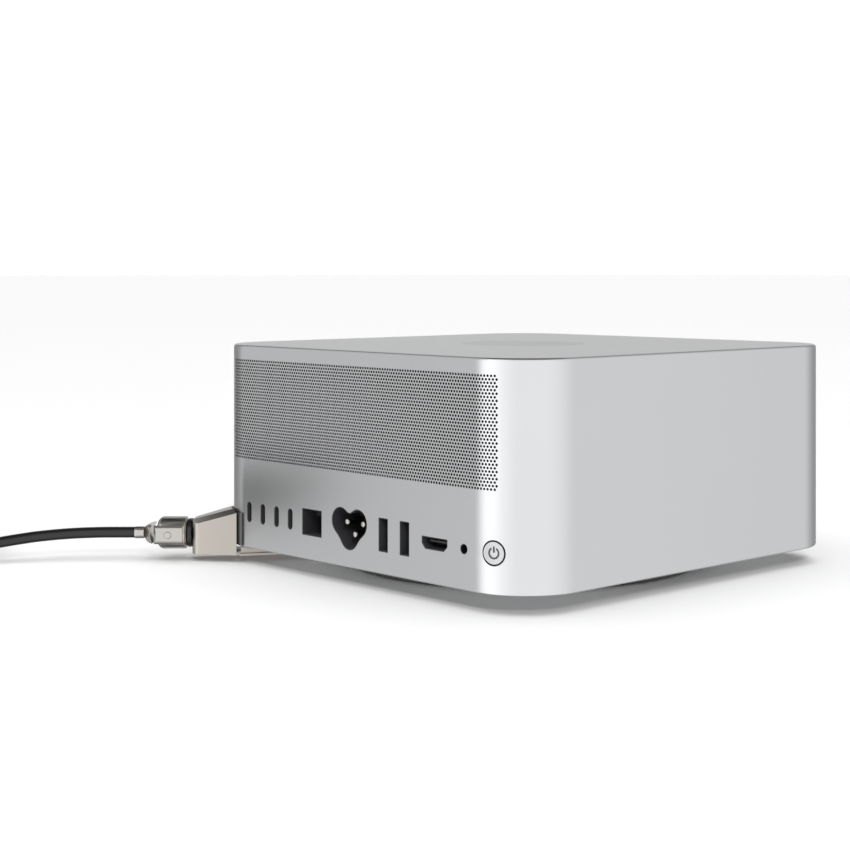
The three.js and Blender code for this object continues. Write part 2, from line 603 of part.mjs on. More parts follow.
function makeCable() {
  place("cable_lead", cut(cordTube(LEAD_ROUTE, CABLE_RADIUS, 20), coilRing(GAP)), CABLE_BLACK, lock);
  place("cable_coil", coilRing(0), CABLE_BLACK, lock);
  const onTop = (points) => points.map(([x, y]) => [COIL.x + x, COIL.y + y, TOP_RUN_Z]);
  place("cable_tail", cordTube(onTop(TAIL_ROUTE), CABLE_RADIUS, 9), CABLE_BLACK, lock);
  place("cable_loop", cordTube(onTop(LOOP_ROUTE), CABLE_RADIUS, 20), CABLE_BLACK, lock);
  const sleeve = new THREE.Shape();
  const flat = CRIMP.halfWidth - CRIMP.halfHeight;
  sleeve.absarc(flat, 0, CRIMP.halfHeight, -Math.PI / 2, Math.PI / 2);
  sleeve.absarc(-flat, 0, CRIMP.halfHeight, Math.PI / 2, Math.PI * 1.5);
  const length = CRIMP.to - CRIMP.from;
  const crimp = new THREE.ExtrudeGeometry(sleeve, { depth: length, bevelEnabled: false, curveSegments: 4 });
  crimp.rotateX(Math.PI / 2).rotateZ(Math.PI / 2);
  crimp.translate(COIL.x + CRIMP.from, COIL.y + CRIMP.y, TOP_RUN_Z);
  place("cable_crimp", crimp, CHROME, lock);
  const { slack, thick, width } = TIE;
  const [low, high] = [COIL.floor - COIL_SKIN, COIL.floor + (COIL.layers - 1) * COIL.layerRise + COIL_SKIN];
  const [inner, outer] = [COIL.inner - COIL_SKIN, COIL.outer + COIL_SKIN];
  const middle = (inner + outer) / 2;
  const [reach, rise] = [(outer - inner) / 2 + slack, (high - low) / 2 + GAP];
  const band = rectangle(middle, (low + high) / 2, 2 * (reach + thick), 2 * (rise + thick));
  band.holes.push(rectangle(middle, (low + high) / 2, 2 * reach, 2 * rise));
  const strap = deepSlab(band, -width / 2, width / 2).rotateZ(TIE.turn).translate(COIL.x, COIL.y, 0);
  place("cable_tie", strap, RUBBER, lock);
}

const button = buttonFrame();
makeCasing(button);
makeBase();
makeRearPorts();
makeInlet();
makeFrontPorts();
makeButton(button);
makeElectronics();
makePowerSupply();
makeBlower();
makeFan("fan_left", -FAN.x, 1);
makeFan("fan_right", FAN.x, -1);
makeBracket();
makeLedge();
makeLock();
makeYoke();
makeCable();

export default computer;
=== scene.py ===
# %% [markdown]
# # A small desktop computer with its corner lock
# The computer is a square aluminium casing with rounded corners, standing on a round base. A zinc bracket
# hugs one corner, and a cable lock hangs on it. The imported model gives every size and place, so it is
# loaded first and nothing is fitted by eye. Its parts become bodies that can move, and each piece made
# below rides on one of them.

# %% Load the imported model
import json
import math

import bmesh
import bpy
from mathutils import Matrix, Vector


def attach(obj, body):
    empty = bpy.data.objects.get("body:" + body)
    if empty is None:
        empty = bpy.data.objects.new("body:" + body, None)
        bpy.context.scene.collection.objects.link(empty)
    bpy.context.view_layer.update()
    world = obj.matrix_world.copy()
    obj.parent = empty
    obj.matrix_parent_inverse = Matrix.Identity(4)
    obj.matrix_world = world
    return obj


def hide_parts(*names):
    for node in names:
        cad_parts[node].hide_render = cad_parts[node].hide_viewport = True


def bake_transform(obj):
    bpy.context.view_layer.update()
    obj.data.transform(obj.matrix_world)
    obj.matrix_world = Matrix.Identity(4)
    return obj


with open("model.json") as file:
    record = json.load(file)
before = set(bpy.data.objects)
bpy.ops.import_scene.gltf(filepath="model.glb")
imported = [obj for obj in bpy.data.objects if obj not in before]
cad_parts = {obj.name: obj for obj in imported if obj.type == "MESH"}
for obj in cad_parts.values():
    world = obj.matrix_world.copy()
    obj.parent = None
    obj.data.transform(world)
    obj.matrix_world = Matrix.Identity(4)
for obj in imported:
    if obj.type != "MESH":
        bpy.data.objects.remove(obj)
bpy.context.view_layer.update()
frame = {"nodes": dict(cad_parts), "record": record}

# %% [markdown]
# ## The camera
# The camera looks level, so the uprights stay upright, and the view is moved up and sideways with the lens
# shift instead of tilting the camera. That is what a view camera does with its rising front.

# %% Set up the camera
EYE = Vector((-0.5278, 0.53165, 0.12655))
LOOK = Vector((0.7227, -0.6912, 0.0))
LENS, SENSOR, SIDE_SHIFT, RISE_SHIFT = 71.62, 36.0, -0.0647, -0.1798


def add_object(name, data):
    made = bpy.data.objects.new(name, data)
    bpy.context.scene.collection.objects.link(made)
    return made


def looking(position, direction):
    """The matrix of a camera or lamp that stands at a position and looks along a direction."""
    return Matrix.Translation(position) @ Vector(direction).to_track_quat("-Z", "Y").to_matrix().to_4x4()


camera_data = bpy.data.cameras.new("view_camera")
camera_data.sensor_width, camera_data.lens = SENSOR, LENS
camera_data.shift_x, camera_data.shift_y = SIDE_SHIFT, RISE_SHIFT
camera_data.clip_start = 0.01
camera = add_object("view_camera", camera_data)
camera.matrix_world = looking(EYE, LOOK)
bpy.context.scene.camera = camera
print("camera", round(EYE.length, 3), "m from the origin, lens", round(camera_data.lens, 1), "mm")

# %% [markdown]
# ## Working in millimetres
# Pieces are drawn in millimetres, because drawings of hardware are, and are scaled to metres at the very
# end. Everything on the lock is drawn in a frame turned by 45 degrees, whose X axis runs straight out of
# the computer's corner, so that a round part there can simply be spun about X. A few small helpers pick and
# move what an operator has just made.

# %% Units, the lock's frame and a way to finish a piece
MM = 0.001
TO_METRES = Matrix.Scale(MM, 4)
LOCK_FRAME = TO_METRES @ Matrix.Rotation(math.radians(45), 4, "Z")


def lock_point(point):
    return LOCK_FRAME @ Vector(point)


def verts_in(geom):
    return [item for item in geom if isinstance(item, bmesh.types.BMVert)]


def open_edges(bm):
    return [edge for edge in bm.edges if edge.is_boundary]


def faulty_edges(bm):
    """How many edges don't join exactly two faces. A closed mesh has none."""
    return sum(not edge.is_manifold for edge in bm.edges)


def shift(bm, verts, x=0.0, y=0.0, z=0.0):
    bmesh.ops.translate(bm, vec=(x, y, z), verts=verts)


def bevelled(bm, geom, width, segments, affect="EDGES", clamp=False):
    bmesh.ops.bevel(bm, geom=geom, offset=width, offset_type="OFFSET", segments=segments, profile=0.5,
                    affect=affect, material=-1, clamp_overlap=clamp)


def outward_normals(bm):
    bmesh.ops.recalc_face_normals(bm, faces=bm.faces)


def finish_piece(name, bm, material, body, replaces=(), place=TO_METRES, sharp=32):
    """Turn a bmesh into a piece that rides on a body, smooth where its faces meet at a small angle."""
    bmesh.ops.transform(bm, matrix=place, verts=bm.verts)
    mesh = bpy.data.meshes.new(name)
    bm.to_mesh(mesh)
    bm.free()
    mesh.shade_smooth()
    mesh.set_sharp_from_angle(angle=math.radians(sharp))
    mesh.materials.append(material)
    made = add_object(name, mesh)
    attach(made, body)
    if replaces:
        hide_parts(*replaces)
    print(f"{name}: {len(mesh.polygons)} faces on {body}")
    return made


# %% [markdown]
# ## Colours and shader nodes
# Colours are given as sRGB hex values, the way paint and plastic suppliers list them. Shaders work in
# linear light, so one function converts them. A second function adds any node, sets its inputs or its
# options by name, and links what feeds it.

# %% Helpers for materials
def linear(hex_colour):
    channels = [int(hex_colour[i:i + 2], 16) / 255 for i in (1, 3, 5)]
    return [c / 12.92 if c <= 0.04045 else ((c + 0.055) / 1.055) ** 2.4 for c in channels] + [1.0]


def add_node(tree, kind, settings=None, links=None):
    node = tree.nodes.new(kind)
    for key, value in (settings or {}).items():
        if key in node.inputs:
            node.inputs[key].default_value = value
        else:
            setattr(node, key, value)
    for key, source in (links or {}).items():
        tree.links.new(source, node.inputs[key])
    return node


print("linear mid grey", [round(c, 3) for c in linear("#808080")])

# %% [markdown]
# Most finishes here share one build-up. A broad, faint cloud stands for handling and uneven plating or
# moulding, and shifts the colour and the roughness a little. A fine grain, whose size is the real grain
# in millimetres, gives the bump. What differs is the substance, so its base colour, metallic, IOR and
# roughness are always passed in.

# %% One build-up for clouded, grained finishes
def grained(name, colours, rough, cloud_mm, grain_mm, bump_um, shader=None, stretch=(1, 1, 1)):
    """A surface whose colour and roughness drift over cloud_mm, with a grain of grain_mm, bump_um high."""
    material = bpy.data.materials.new(name)
    material.use_nodes = True
    tree = material.node_tree
    principled = tree.nodes["Principled BSDF"]
    for key, value in (shader or {}).items():
        principled.inputs[key].default_value = value
    place = add_node(tree, "ShaderNodeTexCoord")
    mapping = add_node(tree, "ShaderNodeMapping", {"Scale": stretch}, {"Vector": place.outputs["Object"]})
    cloud = add_node(tree, "ShaderNodeTexNoise",
                     {"Scale": 1 / (cloud_mm * MM), "Detail": 3.0, "Roughness": 0.55},
                     {"Vector": place.outputs["Object"]})
    colour = add_node(tree, "ShaderNodeMix", {"data_type": "RGBA"}, {"Factor": cloud.outputs["Fac"]})
    for socket, hex_colour in zip([s for s in colour.inputs if s.type == "RGBA"], colours):
        socket.default_value = linear(hex_colour)
    tree.links.new([s for s in colour.outputs if s.type == "RGBA"][0], principled.inputs["Base Color"])
    spread = add_node(tree, "ShaderNodeMapRange", {"To Min": rough[0], "To Max": rough[1]},
                      {"Value": cloud.outputs["Fac"]})
    tree.links.new(spread.outputs["Result"], principled.inputs["Roughness"])
    grain = add_node(tree, "ShaderNodeTexNoise", {"Scale": 1 / (grain_mm * MM), "Detail": 2.0},
                     {"Vector": mapping.outputs["Vector"]})
    bump = add_node(tree, "ShaderNodeBump", {"Strength": 1.0, "Distance": bump_um * 1e-6},
                    {"Height": grain.outputs["Fac"]})
    tree.links.new(bump.outputs["Normal"], principled.inputs["Normal"])
    return material


# %% [markdown]
# ## The finishes
# Each one is named for the real material and how its surface was made. Metals have metallic 1 and keep
# the default IOR. Plastics and rubber have metallic 0 and an IOR of about 1.5.

# %% Make the finishes
# Aluminium blasted with fine glass beads and then anodised clear: a soft, satin silver. The beads leave a
# grain of about 0.1 mm, drawn at 0.35 mm so that it still shows.
ALUMINIUM = grained("aluminium_blasted_anodised", ("#C3C4C5", "#C7C8C9"), (0.26, 0.3), 60, 0.35, 2.2,
                    {"Metallic": 1.0})
# The same alloy, polished finer before anodising. Its colour is painted darker than the blasted finish's, as
# painted shade for the dim surroundings a polished face mirrors.
ALUMINIUM_POLISHED_PAINTED_DARK = grained("aluminium_polished_painted_dark", ("#A8A9AB", "#ADAEB0"), (0.22, 0.28), 40, 0.4,
                             0.6, {"Metallic": 1.0})
# Cast zinc, tumbled smooth and plated with satin nickel, which is a little warm.
ZINC_SATIN = grained("zinc_cast_satin_nickel", ("#9F9A94", "#A8A39D"), (0.26, 0.32), 14, 0.5, 1.2,
                     {"Metallic": 1.0})
# Turned brass under bright nickel plate: nearly a mirror, with faint turning marks.
NICKEL_BRIGHT = grained("brass_turned_bright_nickel", ("#ABA8A3", "#B5B2AD"), (0.1, 0.17), 8, 0.3, 0.5,
                        {"Metallic": 1.0})
# Screws and stampings of zinc plated steel, slightly blue and cloudy.
STEEL_ZINC = grained("steel_zinc_plated", ("#9A9DA2", "#AEB1B5"), (0.25, 0.38), 5, 0.25, 1.0,
                     {"Metallic": 1.0})
# Stainless sheet folded into socket shells, dulled by rolling.
STAINLESS = grained("stainless_rolled_sheet", ("#5C5D60", "#6A6B6E"), (0.3, 0.42), 6, 0.3, 1.0,
                    {"Metallic": 1.0})
# Contact pins: brass under nickel, polished by plugs sliding over them.
PIN_NICKEL = grained("brass_pin_nickel_plated", ("#A19D97", "#AEAAA3"), (0.16, 0.24), 3, 0.2, 0.5,
                     {"Metallic": 1.0})
# Moulded ABS with a fine spark-eroded texture.
ABS_BLACK = grained("abs_moulded_black", ("#141416", "#1B1B1D"), (0.42, 0.52), 12, 0.25, 6.0,
                    {"Metallic": 0.0, "IOR": 1.54})
# Compression moulded rubber: matt and a little dusty.
# On the corner strip this black is painted shadow for the gap beside the bracket.
RUBBER_BLACK_AND_GAP_SHADOW = grained("rubber_moulded_black_and_gap_shadow", ("#161616", "#232322"), (0.68, 0.82), 7, 0.3, 8.0,
                       {"Metallic": 0.0, "IOR": 1.52})
# Silicone sheet glued on as a cushion, greyer than the rubber.
SILICONE_GREY = grained("silicone_sheet_grey", ("#5E5E5E", "#696968"), (0.45, 0.55), 6, 0.3, 4.0,
                        {"Metallic": 0.0, "IOR": 1.45})
# Glass laminate under a dark solder mask.
BOARD = grained("laminate_solder_mask", ("#101A14", "#16231B"), (0.3, 0.42), 5, 0.4, 5.0,
                {"Metallic": 0.0, "IOR": 1.55})
# Aluminium as it leaves the extruder, with lines along the pull.
ALUMINIUM_BARE = grained("aluminium_extruded_bare", ("#A2A3A5", "#B2B3B5"), (0.3, 0.4), 10, 0.4, 2.0,
                         {"Metallic": 1.0}, stretch=(4, 0.3, 4))
# A clear acrylic rod that carries the light of a lamp behind the wall.
ACRYLIC = grained("acrylic_clear_rod", ("#DDE6DE", "#E8EEE8"), (0.12, 0.2), 3, 0.2, 1.0,
                  {"Metallic": 0.0, "IOR": 1.49})
print(len(bpy.data.materials), "finishes so far")

# %% [markdown]
# The cable's jacket is soft vinyl pushed through a round die over a steel rope. The surface is smooth and
# shiny, with very shallow waves where the strands press through, so the finish has a long, low ripple and
# a clear reflection. The tie is woven nylon, and its threads cross at half a millimetre.

# %% Make the cable's finishes
VINYL_BLACK = grained("vinyl_extruded_black", ("#070708", "#0D0D0E"), (0.3, 0.36), 10, 2.2, 10.0,
                      {"Metallic": 0.0, "IOR": 1.5})


def woven(name, dark, light, thread_mm):
    material = bpy.data.materials.new(name)
    material.use_nodes = True
    tree = material.node_tree
    principled = tree.nodes["Principled BSDF"]
    principled.inputs["IOR"].default_value = 1.53
    principled.inputs["Roughness"].default_value = 0.8
    principled.inputs["Sheen Weight"].default_value = 0.3
    place = add_node(tree, "ShaderNodeTexCoord")
    weave = add_node(tree, "ShaderNodeTexChecker",
                     {"Scale": 1 / (thread_mm * MM), "Color1": linear(dark), "Color2": linear(light)},
                     {"Vector": place.outputs["Object"]})
    tree.links.new(weave.outputs["Color"], principled.inputs["Base Color"])
    bump = add_node(tree, "ShaderNodeBump", {"Strength": 0.8, "Distance": 0.0001},
                    {"Height": weave.outputs["Fac"]})
    tree.links.new(bump.outputs["Normal"], principled.inputs["Normal"])
    return material


STRAP = woven("nylon_woven_black", "#101010", "#202020", 0.5)
print("cable finishes", VINYL_BLACK.name, STRAP.name)

# %% [markdown]
# ## The cable
# The cable is a 4.8 mm steel rope in a black jacket, 1.9 m long. It comes straight out of the lock, sags to
# the table and is put away in a coil of nine turns, four layers high, with a crimped loop on its end. Its
# lead, tail and loop are short lists of points, and the turns of the coil are worked out by a loop. A
# curve carries it best, because a curve keeps its thickness along any route. It is turned into a mesh at
# the end.

# %% The cable's route, in the lock's frame
CABLE_RADIUS, CABLE_LENGTH = 2.4, 1.9
COIL_X, COIL_INNER, COIL_OUTER = 276.7, 22.5, 33.5
COIL_FLOOR, LAYER_RISE, LAYERS, TURNS_PER_LAYER = 3.2, 4.85, 4, 2.25
COIL_START = math.radians(105)
CLIMB_END, CLIMB_RADIUS, CLIMB_SHARE = math.radians(43.3), 33.6, 0.24
TOP_RUN_Z = 23.0
LEAD_ROUTE = [(171.9, 4.5, 11.5), (176, 4.53, 11.5), (180, 4.6, 11.5), (188.7, 5, 11.45), (200.9, 6.5, 11.1),
              (212.6, 9.5, 10.4), (220.3, 12, 9.6), (227.7, 15, 8.7), (236, 18.6, 7.5), (244, 22.4, 6.1),
              (252, 26, 4.8), (260, 29.4, 3.7)]
TAIL_ROUTE = [(24.6, 23.2), (28.2, 18.6), (30.6, 13.2), (31, 7.8), (28.9, 2.4), (25, -1.8), (20.5, -4.2),
              (15.8, -4.8), (9.5, -4.8)]
LOOP_ROUTE = [(3.2, -4.8), (0.8, -5.2), (-2.2, -7.2), (-7, -12.2), (-12.5, -16.7), (-19, -17.8),
              (-26.5, -15.6), (-32, -9.6), (-33.5, -2.3), (-32, 5), (-26.5, 11), (-19, 13.2), (-12.5, 12.1),
              (-7, 7.6), (-2.2, 2.6), (0.8, 0.6), (3.2, 0.2), (8, 0.2), (14, 0.2)]


def ease(t):
    t = min(max(t, 0.0), 1.0)
    return t * t * (3 - 2 * t)


def coil_point(angle, radius, z):
    return COIL_X + radius * math.cos(angle), radius * math.sin(angle), z


def coil_points(per_turn=36):
    """Nine turns wound clockwise, inward on one layer and outward on the next."""
    turns = LAYERS * TURNS_PER_LAYER
    points = []
    for i in range(int(turns * per_turn) + 1):
        turn = i / per_turn
        layer = min(int(turn / TURNS_PER_LAYER), LAYERS - 1)
        inward = turn / TURNS_PER_LAYER - layer
        share = inward if layer % 2 == 0 else 1 - inward
        radius = COIL_OUTER - (COIL_OUTER - COIL_INNER) * share
        climb = sum(ease((turn - k * TURNS_PER_LAYER) / CLIMB_SHARE + 0.5) for k in range(1, LAYERS))
        points.append(coil_point(COIL_START - turn * 2 * math.pi, radius, COIL_FLOOR + LAYER_RISE * climb))
    return points


def climb_to_top(steps=8):
    """From the end of the last turn up onto the top of the coil."""
    start = COIL_FLOOR + LAYER_RISE * (LAYERS - 1)
    shares = [i / steps for i in range(1, steps)]
    return [coil_point(COIL_START + (CLIMB_END - COIL_START) * t, CLIMB_RADIUS,
                       start + (TOP_RUN_Z - start) * ease(t)) for t in shares]


def smooth_route(points, step=2.0):
    """Points about one step apart on the smooth curve that passes through the given ones."""
    route = [Vector(p) for p in points]
    ends = [2 * route[0] - route[1]] + route + [2 * route[-1] - route[-2]]
    smooth = []
    for a, b, c, d in zip(ends, ends[1:], ends[2:], ends[3:]):
        count = max(1, round((c - b).length / step))
        for i in range(count):
            t = i / count
            smooth.append(0.5 * (2 * b + (c - a) * t + (2 * a - 5 * b + 4 * c - d) * t ** 2
                                 + (3 * b - a - 3 * c + d) * t ** 3))
    return smooth + [route[-1]]


on_top = [(COIL_X + x, y, TOP_RUN_Z) for x, y in TAIL_ROUTE + LOOP_ROUTE]
cable_route = smooth_route(LEAD_ROUTE + coil_points() + climb_to_top() + on_top)
cable_length = sum((b - a).length for a, b in zip(cable_route, cable_route[1:])) * MM
print("cable length", round(cable_length, 3), "m in", len(cable_route), "points")


# %% Make the cable's mesh
def cable_mesh(name, route, radius_mm):
    curve = bpy.data.curves.new(name + "_line", "CURVE")
    curve.dimensions = "3D"
    curve.bevel_depth = radius_mm * MM
    curve.bevel_resolution = 5
    curve.use_fill_caps = True
    spline = curve.splines.new("POLY")
    spline.points.add(len(route) - 1)
    for spot, point in zip(spline.points, route):
        spot.co = (*lock_point(point), 1.0)
    holder = add_object(name + "_line", curve)
    bpy.context.view_layer.update()
    mesh = bpy.data.meshes.new_from_object(holder.evaluated_get(bpy.context.evaluated_depsgraph_get()))
    bpy.data.objects.remove(holder)
    mesh.name = name
    mesh.shade_smooth()
    mesh.set_sharp_from_angle(angle=math.radians(50))
    return add_object(name, mesh)


cable = cable_mesh("security_cable", cable_route, CABLE_RADIUS)
cable.data.materials.clear()
cable.data.materials.append(VINYL_BLACK)
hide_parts("cable_lead", "cable_coil", "cable_tail", "cable_loop")
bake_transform(cable)
print("cable faces", len(cable.data.polygons))

# %% [markdown]
# ## The casing, drawn flat and wrapped
# The real casing is milled from one block. Its four walls are one band that bends round four corners, so
# the band is drawn flat first, as a sheet of metal would be, with every port opening as a loop of edges.
# Filling between the loops gives one face net with clean holes, which no solid boolean could do as neatly.
# Then each point is wrapped: along a wall it moves straight, and at a corner it turns about the corner's
# centre. A guard row of edges beside each bend keeps the flat faces truly flat in the shading.

# %% The casing's sizes and how a flat point is wrapped
CASING_HALF, CORNER_RADIUS = 98.5, 26.2
CASING_BOTTOM, CASING_TOP, WALL, ROOF = 7.3, 95.0, 3.0, 3.5
FLOOR_TOP = CASING_BOTTOM + WALL
WALL_RUN = 2 * (CASING_HALF - CORNER_RADIUS)
CORNER_ARC = CORNER_RADIUS * math.pi / 2
SIDE_RUN = WALL_RUN + CORNER_ARC
BAND_HALF = 2 * SIDE_RUN
CORNER_STEPS = 28


def wrap_point(point):
    """u runs round the casing from the middle of the rear wall, v is the height and w stands outward."""
    u, v, w = point
    side = round(u / SIDE_RUN)
    along = u - side * SIDE_RUN
    over = max(0.0, abs(along) - WALL_RUN / 2)
    angle = math.copysign(over / CORNER_RADIUS, along)
    straight = math.copysign(min(abs(along), WALL_RUN / 2), along)
    reach = CORNER_RADIUS + w
    flat = Vector((-straight - reach * math.sin(angle), WALL_RUN / 2 + reach * math.cos(angle), v))
    return Matrix.Rotation(side * math.pi / 2, 3, "Z") @ flat


def wrap(bm):
    for vert in bm.verts:
        vert.co = wrap_point(vert.co)
    bmesh.ops.remove_doubles(bm, verts=bm.verts, dist=0.001)


print("band length", round(2 * BAND_HALF, 1), "mm")


# %% Loops for the openings
def rounded_loop(bm, u, v, width, height, corner, segments=4, corners=None):
    """A rectangle of edges with rounded corners. With one segment the chosen corners are chamfered."""
    place = Matrix.Translation((u, v, 0)) @ Matrix.Diagonal((width, height, 1, 1))
    made = bmesh.ops.create_grid(bm, x_segments=1, y_segments=1, size=0.5, matrix=place)["verts"]
    chosen = [vert for vert in made if corners is None or corners(vert.co)]
    if corner:
        bevelled(bm, chosen, corner, segments, "VERTICES")
    faces = [face for face in bm.faces if abs(face.calc_center_median().x - u) < width
             and abs(face.calc_center_median().y - v) < height]
    bmesh.ops.delete(bm, geom=faces, context="FACES_ONLY")


def round_loop(bm, u, v, radius, segments=32):
    bmesh.ops.create_circle(bm, segments=segments, radius=radius, matrix=Matrix.Translation((u, v, 0)))


INLET_LOBES = [(5.45, 2.4), (-5.45, 2.4), (0, -3.2)]
INLET_X, INLET_Z = 1.4, 23.3


def inlet_reach(angle, lobe, fillet=3.8):
    """How far three circles, melted together with round inner corners, reach from their middle."""
    def outside(reach):
        point = (reach * math.cos(angle), reach * math.sin(angle))
        near, middle, far = sorted(math.dist(point, centre) - lobe for centre in INLET_LOBES)
        for other in (middle, far):
            melt = max(fillet - abs(near - other), 0) / fillet
            near = min(near, other) - melt * melt * fillet / 4
        return near > 0

    low, high = 0.0, 20.0
    for _ in range(30):
        reach = (low + high) / 2
        low, high = (low, reach) if outside(reach) else (reach, high)
    return low


def inlet_loop(bm, u, v, lobe=5.7, segments=72):
    """The cloverleaf: a circle whose points are pulled out to the three lobes."""
    for vert in bmesh.ops.create_circle(bm, segments=segments, radius=1.0)["verts"]:
        angle = math.atan2(vert.co.y, vert.co.x)
        reach = inlet_reach(angle, lobe)
        vert.co = Vector((u + reach * math.cos(angle), v + reach * math.sin(angle), 0))


PORT_Z = 22.9
USB_C_SIZE, USB_A_SIZE, NETWORK_SIZE = (3.3, 8.9), (5.6, 13.4), (13.0, 11.1)
VIDEO_SIZE, CARD_SIZE, AUDIO_RADIUS = (14.6, 4.9), (24.6, 2.4), 1.95
USB_C_X, USB_A_X, FRONT_USB_C_X = (69.3, 59.6, 49.9, 40.4), (-19.7, -32.4), (-72.0, -58.0)
NETWORK_U, VIDEO_U, AUDIO_U, CARD_U, LAMP_U = -25.7, 49.8, 66.2, BAND_HALF - 33, 74 - BAND_HALF
BUTTON_TURN = math.radians(18.66)
BUTTON_U = WALL_RUN / 2 + CORNER_RADIUS * BUTTON_TURN
VENT_HALF, VENT_LOW, VENT_HIGH = 83.4, 45.4, 89.24
TOP_ROUND, BOTTOM_ROUND = 1.3, 0.7


def lower_corner(co):
    return co.y < PORT_Z


def draw_openings(bm):
    for x in USB_C_X:
        rounded_loop(bm, -x, PORT_Z, *USB_C_SIZE, 1.64, 8)
    for x in USB_A_X:
        rounded_loop(bm, -x, PORT_Z, *USB_A_SIZE, 0.25, 2)
    rounded_loop(bm, NETWORK_U, PORT_Z, *NETWORK_SIZE, 0.3, 2)
    rounded_loop(bm, VIDEO_U, PORT_Z, *VIDEO_SIZE, 2.0, 1, lower_corner)
    round_loop(bm, AUDIO_U, PORT_Z, AUDIO_RADIUS)
    inlet_loop(bm, -INLET_X, INLET_Z)
    round_loop(bm, BUTTON_U, PORT_Z, 4.85, 48)
    for x in FRONT_USB_C_X:
        rounded_loop(bm, BAND_HALF + x, PORT_Z, *USB_C_SIZE, 1.64, 8)
    rounded_loop(bm, CARD_U, PORT_Z, *CARD_SIZE, 0.4, 3)
    round_loop(bm, LAMP_U, PORT_Z, 1.1, 20)
    rounded_loop(bm, 0, (VENT_LOW + VENT_HIGH) / 2, 2 * VENT_HALF, VENT_HIGH - VENT_LOW, 0)


# %% [markdown]
# ### From the flat sheet to a hollow box
# The sheet is sliced where it will bend, then given its 3 mm thickness by extruding the whole face net
# inward. The top and bottom edges get their small rounding by extruding the rim a few steps along a
# quarter circle. After wrapping, the roof and the floor are filled between the rim and a circle: the plain
# round inlay on top, and the large opening for the base below.

# %% Build the casing
def sliced(bm, point, normal):
    geom = bm.verts[:] + bm.edges[:] + bm.faces[:]
    bmesh.ops.bisect_plane(bm, geom=geom, dist=1e-5, plane_co=point, plane_no=normal)


def thickened(bm, depth):
    """Turn all faces to +Z, extrude them by depth along Z and return the new points."""
    outward_normals(bm)
    if bm.faces[0].normal.z < 0:
        bmesh.ops.reverse_faces(bm, faces=bm.faces)
    verts = verts_in(bmesh.ops.extrude_face_region(bm, geom=bm.faces[:])["geom"])
    shift(bm, verts, z=depth)
    return verts


def bend_places():
    places = []
    for side in (-1.5, -0.5, 0.5, 1.5):
        start = side * SIDE_RUN - CORNER_ARC / 2
        places += [start - 0.4, start + CORNER_ARC + 0.4]
        places += [start + CORNER_ARC * i / CORNER_STEPS for i in range(CORNER_STEPS + 1)]
    return places


def rim(bm, v, w):
    """The open edges of the flat sheet at height v and offset w."""
    return [edge for edge in bm.edges if edge.is_boundary
            and all(abs(vert.co.y - v) < 1e-3 and abs(vert.co.z - w) < 1e-3 for vert in edge.verts)]


def extrude_rim(bm, edges, steps):
    for rise, inward in steps:
        made = bmesh.ops.extrude_edge_only(bm, edges=edges)["geom"]
        verts = verts_in(made)
        fresh = set(verts)
        edges = [item for item in made if isinstance(item, bmesh.types.BMEdge) and set(item.verts) <= fresh]
        shift(bm, verts, y=rise, z=-inward)


def quarter_steps(radius, direction, steps=5):
    """Moves along a quarter circle from an upright face to a level one, and a little past it."""
    angles = [math.pi / 2 * i / steps for i in range(steps + 1)]
    moves = [(direction * radius * (math.sin(b) - math.sin(a)), radius * (math.cos(a) - math.cos(b)))
             for a, b in zip(angles, angles[1:])]
    return moves + [(0.0, 0.5)]


def level_rim(bm, z):
    return [edge for edge in open_edges(bm) if all(abs(vert.co.z - z) < 1e-3 for vert in edge.verts)]


def ring_of_edges(bm, radius, z, segments=96):
    place = Matrix.Translation((0, 0, z))
    verts = bmesh.ops.create_circle(bm, segments=segments, radius=radius, matrix=place)["verts"]
    return list({edge for vert in verts for edge in vert.link_edges})


def build_casing():
    bm = bmesh.new()
    low, high = CASING_BOTTOM + BOTTOM_ROUND, CASING_TOP - TOP_ROUND
    draw_openings(bm)
    place = Matrix.Translation((0, (low + high) / 2, 0)) @ Matrix.Diagonal((2 * BAND_HALF, high - low, 1, 1))
    sheet = bmesh.ops.create_grid(bm, x_segments=1, y_segments=1, size=0.5, matrix=place)["verts"]
    filled = list({face for vert in sheet for face in vert.link_faces})
    bmesh.ops.delete(bm, geom=filled, context="FACES_ONLY")
    bmesh.ops.triangle_fill(bm, edges=bm.edges[:], use_beauty=True, normal=(0, 0, 1))
    for u in bend_places():
        sliced(bm, (u, 0, 0), (1, 0, 0))
    for v in (low + 0.15, high - 0.15):
        sliced(bm, (0, v, 0), (0, 1, 0))
    inner = thickened(bm, -WALL)
    for vert in inner:
        if vert.co.y > high - 0.2:
            vert.co.y = CASING_TOP - ROOF - 0.5 * (high - vert.co.y)
        if vert.co.y < low + 0.2:
            vert.co.y = FLOOR_TOP + 0.5 * (vert.co.y - low)
    ends = []
    for face in bm.faces:
        outer = [vert for vert in face.verts if vert.co.z > -0.5 * WALL]
        levels = {round(vert.co.y, 3) for vert in outer}
        at_rim = len(outer) < len(face.verts) and levels in ({round(low, 3)}, {round(high, 3)})
        if at_rim or all(abs(abs(vert.co.x) - BAND_HALF) < 1e-3 for vert in face.verts):
            ends.append(face)
    bmesh.ops.delete(bm, geom=ends, context="FACES")
    extrude_rim(bm, rim(bm, high, 0), quarter_steps(TOP_ROUND, 1))
    extrude_rim(bm, rim(bm, low, 0), quarter_steps(BOTTOM_ROUND, -1))
    wrap(bm)
    return bm


